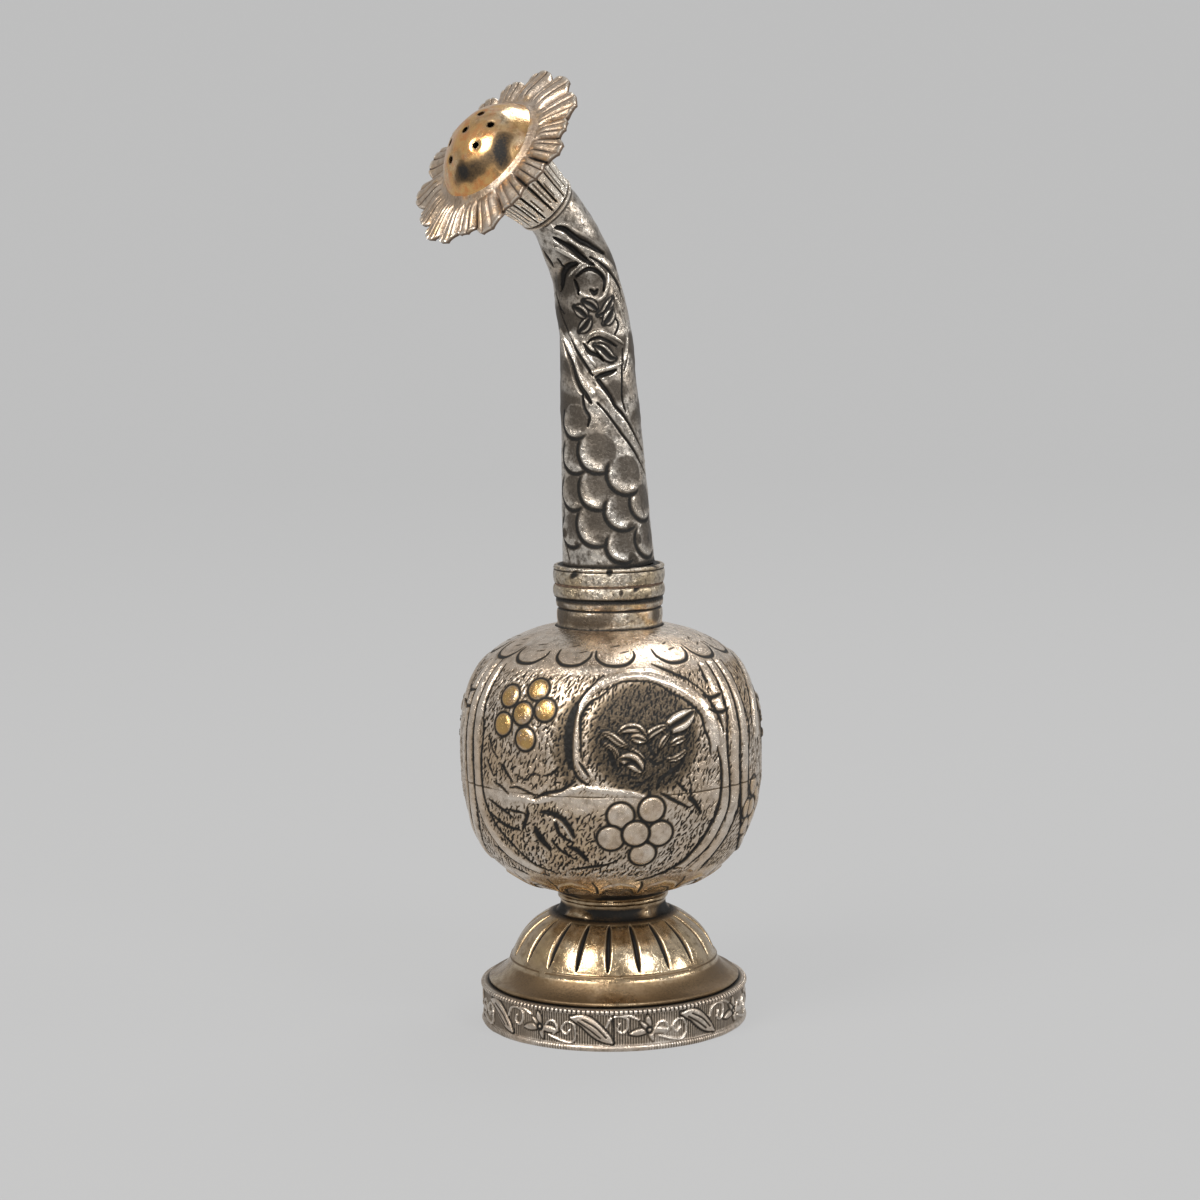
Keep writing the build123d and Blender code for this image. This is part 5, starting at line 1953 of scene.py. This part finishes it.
    def rose(self) -> Piece:
        """The pierced dome: thin, dented and worn, with a pale ungilded spot near its rim painted as a
        highlight.
        """
        base = self.calyx_length + self.petal_thickness + 0.05
        ball = (self.rose_radius**2 + self.rose_height**2) / (2 * self.rose_height)
        middle = base + self.rose_height - ball
        rim = math.asin(self.rose_radius / ball)
        turn = np.linspace(rim, 0.006, 90)
        outline = np.stack([ball * np.sin(turn), middle + ball * np.cos(turn)], 1)
        work, _ = turned_work(outline, 360, 0.22, self.about)
        work.hammer(7.0, 0.22, 29)
        work.hammer(2.6, 0.05, 30)
        fade = ramp(0, 3.0, work.alongs[-1] - work.alongs)[:, None]
        work.height *= 0.25 + 0.75 * fade
        places = [(0.0, work.alongs[-1] - 0.05)]
        ring = zip(self.ring_angles, self.ring_tilts)
        places += [(angle, ball * (rim - math.radians(tilt))) for angle, tilt in ring]
        for angle, along in places:
            distance = work.distance(angle, along)
            work.height -= 0.16 * bell(distance, self.spray_hole, 0.5)
            work.darken(0.9 * bell(distance, self.spray_hole, 0.2))
        band = bell(work.alongs, 0, 0.8)[:, None]
        ragged = 1.5 * ripple(work.points, 2.6, 86)
        patch = 0.3 * work.patch(0.3, 1.2, 6.5, 85)
        for angle, tilt, wide, dark in self.stains:
            distance = work.distance(angle, ball * (rim - math.radians(tilt)))
            patch = np.maximum(patch, dark * (1 - ramp(0.1 * wide, 1.9 * wide, distance + ragged)))
        work.darken(0.8 * patch * (1 - 0.6 * band))
        work.height += 0.18 * bell(work.alongs, 0, 0.6)[:, None]
        work.height = np.minimum(work.height, 0.12)
        # painted highlight: the gilding is left off round a spot near the rim at 28 degrees, so that it
        # shows pale
        highlight_reach = work.distance(28.0, 3.0)
        work.gilt[:] = (1 - 0.5 * patch) * ramp(1.5, 8.0, highlight_reach)
        piece = work.sheet("rose_dome_pierced", self.rose_wall, 16)
        self.pierce(piece, middle, ball)
        return self.finish(piece, ROSE_GILT, "rose_dome")

    def pierce(self, piece: Piece, middle: float, ball: float) -> None:
        """Drills the spray holes through the dome.

        Args:
            piece: the dome.
            middle: the height of its ball's centre.
            ball: its ball's radius.
        """
        sides = self.drill_sides
        turn = np.radians(np.linspace(0, FULL_TURN, sides, endpoint=False))
        ring = np.stack([self.spray_hole * np.cos(turn), self.spray_hole * np.sin(turn)], -1)
        levels = (ball - 3.0, ball + 1.5)
        drill = np.concatenate([np.column_stack([ring, np.full(sides, level)]) for level in levels])
        pairs = [(k, (k + 1) % sides) for k in range(sides)]
        vertices, faces = [], []
        for angle, tilt in zip((0.0, *self.ring_angles), (0.0, *self.ring_tilts)):
            spin = Matrix.Rotation(math.radians(angle), 3, "Z")
            lean = Matrix.Rotation(math.radians(tilt), 3, "Y")
            points = drill @ np.array(spin @ lean).T + np.array([0, 0, middle])
            low = len(vertices)
            high = low + sides
            vertices += [tuple(point) for point in self.about.out(points) * MM]
            faces += [(low + k, low + after, high + after, high + k) for k, after in pairs]
            faces += [tuple(low + k for k in reversed(range(sides))), tuple(high + k for k in range(sides))]
        mesh = bpy.data.meshes.new("spray_drills")
        mesh.from_pydata(vertices, [], faces)
        drills = placed("spray_drills", mesh)
        for mask in Mask:
            layer = mesh.attributes.new(mask.value, "FLOAT", "POINT")
            layer.data.foreach_set("value", [1.0 if mask is Mask.OXIDE else 0.0] * len(vertices))
        modifier = piece.modifiers.new("pierce", "BOOLEAN")
        modifier.operation, modifier.solver, modifier.object = "DIFFERENCE", "EXACT", drills
        bpy.context.view_layer.update()
        graph = bpy.context.evaluated_depsgraph_get()
        pierced = bpy.data.meshes.new_from_object(piece.evaluated_get(graph))
        piece.modifiers.clear()
        piece.data = pierced
        bpy.data.objects.remove(drills)


@dataclass
class Washer:
    """The leather washer in the parting line, which keeps the frame's own form."""

    node: str = "sealing_washer"

    def dress(self, nodes: dict[str, Piece]) -> Piece:
        """Gives the washer its leather.

        Args:
            nodes: the frame's nodes by name.

        Returns:
            The washer.
        """
        washer = nodes[self.node]
        washer.data.materials.clear()
        washer.data.materials.append(LeatherFinish().make())
        return washer


class Lamp(Enum):
    """The soft lamps: azimuth and elevation seen from the object, distance, size, power and tint."""

    KEY = (-42.0, 40.0, 1.3, 0.72, 15.0, (1.0, 0.97, 0.93))
    FILL = (38.0, 34.0, 1.3, 0.52, 8.0, (0.95, 0.97, 1.0))
    FRONT = (-8.0, 12.0, 1.5, 0.3, 2.6, (1.0, 0.98, 0.95))
    CROWN = (150.0, 62.0, 1.2, 0.6, 6.0, (1.0, 1.0, 1.0))
    RIM = (82.0, 16.0, 1.3, 0.35, 3.2, (1.0, 0.99, 0.97))


@dataclass
class Studio:
    """The camera, the lamps, the floor and the pale surroundings."""

    azimuth: float = 51.3
    place: tuple[float, float, float] = (469.2, -375.9, 162.9)
    lens: float = 84.5
    pitch: float = 0.118
    roll: float = -0.0125
    yaw: float = -0.0033
    surround: Colour = (0.533, 0.533, 0.533)
    steady: float = 0.9
    floor_reach: float = 2.6
    floor_bend: float = 1.0
    floor_sides: int = 96
    wall_height: float = 2.2
    centre_height: float = 0.1

    def build(self) -> None:
        """Builds everything round the object."""
        self.camera()
        self.sweep()
        self.world()
        for lamp in Lamp:
            self.lamp(lamp)
        bpy.context.scene.view_settings.view_transform = "Standard"

    def axes(self) -> tuple[Vector, Vector, Vector]:
        """The camera's right, up and forward directions."""
        turn = math.radians(self.azimuth)
        across = Vector((math.cos(turn), math.sin(turn), 0))
        away = Vector((-math.sin(turn), math.cos(turn), 0))
        up = Vector((0, 0, 1))
        forward = (across * math.sin(self.yaw) + away * math.cos(self.yaw)) * math.cos(self.pitch)
        forward -= up * math.sin(self.pitch)
        right = across * math.cos(self.yaw) - away * math.sin(self.yaw)
        above = right.cross(forward)
        rolled = right * math.cos(self.roll) + above * math.sin(self.roll)
        upright = above * math.cos(self.roll) - right * math.sin(self.roll)
        return rolled, upright, forward

    def camera(self) -> None:
        """The camera, where the photograph was taken from."""
        data = bpy.data.cameras.new("camera")
        data.sensor_width = 36.0
        data.lens = self.lens
        data.clip_start, data.clip_end = 0.05, 20.0
        camera = placed("camera", data)
        right, up, forward = self.axes()
        turned = Matrix((right, up, -forward)).transposed().to_4x4()
        camera.matrix_world = Matrix.Translation(Vector(self.place) * MM) @ turned
        bpy.context.scene.camera = camera

    def lamp(self, lamp: Lamp) -> None:
        """One soft lamp, aimed at the object's middle."""
        azimuth, elevation, distance, size, power, tint = lamp.value
        turn, lift = math.radians(self.azimuth + azimuth), math.radians(elevation)
        away = Vector((math.sin(turn) * math.cos(lift), -math.cos(turn) * math.cos(lift), math.sin(lift)))
        centre = Vector((0, 0, self.centre_height))
        data = bpy.data.lights.new(f"lamp_{lamp.name.lower()}", "AREA")
        data.shape, data.size, data.energy, data.color = "DISK", size, power, tint
        made = placed(data.name, data)
        made.location = centre + away * distance
        made.rotation_euler = away.to_track_quat("Z", "Y").to_euler()

    def sweep(self) -> None:
        """A pale floor that curves up into a backdrop all round."""
        reach, bend, sides = self.floor_reach, self.floor_bend, self.floor_sides
        outline = [(0.02, 0.0), (0.4, 0.0), (reach - bend, 0.0)]
        outline += [(reach - bend + bend * math.sin(t), bend - bend * math.cos(t))
                    for t in np.linspace(0.1, math.pi / 2, 12)]
        outline.append((reach, self.wall_height))
        turns = np.linspace(0, 2 * math.pi, sides, endpoint=False)
        vertices = [(r * math.cos(a), r * math.sin(a), z) for r, z in outline for a in turns]
        faces = [tuple(range(sides))]
        pairs = [(k, (k + 1) % sides) for k in range(sides)]
        for low in range(0, (len(outline) - 1) * sides, sides):
            high = low + sides
            faces += [(low + k, high + k, high + after, low + after) for k, after in pairs]
        mesh = bpy.data.meshes.new("floor")
        mesh.from_pydata(vertices, [], faces)
        mesh.polygons.foreach_set("use_smooth", [True] * len(faces))
        floor = placed("floor", mesh)
        mesh.materials.append(self.paper())

    @staticmethod
    def seen(wires: Wires) -> Socket:
        """1 for the camera's rays and for those that are mirrored or passed on, 0 for the rest."""
        rays = wires.node("ShaderNodeLightPath", {}).outputs
        direct = wires.maths("MAXIMUM", rays["Is Camera Ray"], rays["Is Glossy Ray"])
        return wires.maths("MAXIMUM", direct, rays["Is Transmission Ray"])

    def paper(self) -> bpy.types.Material:
        """The floor's matt paper, steady to the camera and to reflections."""
        material = bpy.data.materials.new("floor_paper")
        material.use_nodes = True
        tree = material.node_tree
        tree.nodes.clear()
        wires = Wires(tree)
        matt = wires.node("ShaderNodeBsdfDiffuse", {"Color": self.surround})
        glow = wires.node("ShaderNodeEmission", {"Color": self.surround, "Strength": 1.0})
        share = wires.maths("MULTIPLY", self.seen(wires), self.steady)
        mixed = wires.node("ShaderNodeMixShader", {0: share, 1: matt.outputs[0], 2: glow.outputs[0]})
        output = tree.nodes.new("ShaderNodeOutputMaterial")
        tree.links.new(mixed.outputs[0], output.inputs["Surface"])
        return material

    def world(self) -> None:
        """An even, dim sky, as pale as the floor to the camera and to reflections."""
        world = bpy.data.worlds.new("surround")
        bpy.context.scene.world = world
        world.use_nodes = True
        tree = world.node_tree
        tree.nodes.clear()
        wires = Wires(tree)
        strength = wires.maths("MULTIPLY_ADD", self.seen(wires), -0.4, 1.4)
        sky = wires.node("ShaderNodeBackground", {"Color": self.surround, "Strength": strength})
        output = tree.nodes.new("ShaderNodeOutputWorld")
        tree.links.new(sky.outputs[0], output.inputs["Surface"])


def main() -> None:
    """Builds the sprinkler from the foot up, and the studio round it."""
    logging.basicConfig(level=logging.INFO, format="%(name)s: %(message)s")
    assemblies = (Foot(), Belly(), Neck(), Spout(), Head())
    for assembly in assemblies:
        pieces = assembly.build()
        LOG.info("%s built in %d pieces", type(assembly).__name__, len(pieces))
    washer = Washer().dress(frame["nodes"])
    LOG.info("%s dressed", washer.name)
    Studio().build()


if __name__ == "__main__":
    main()
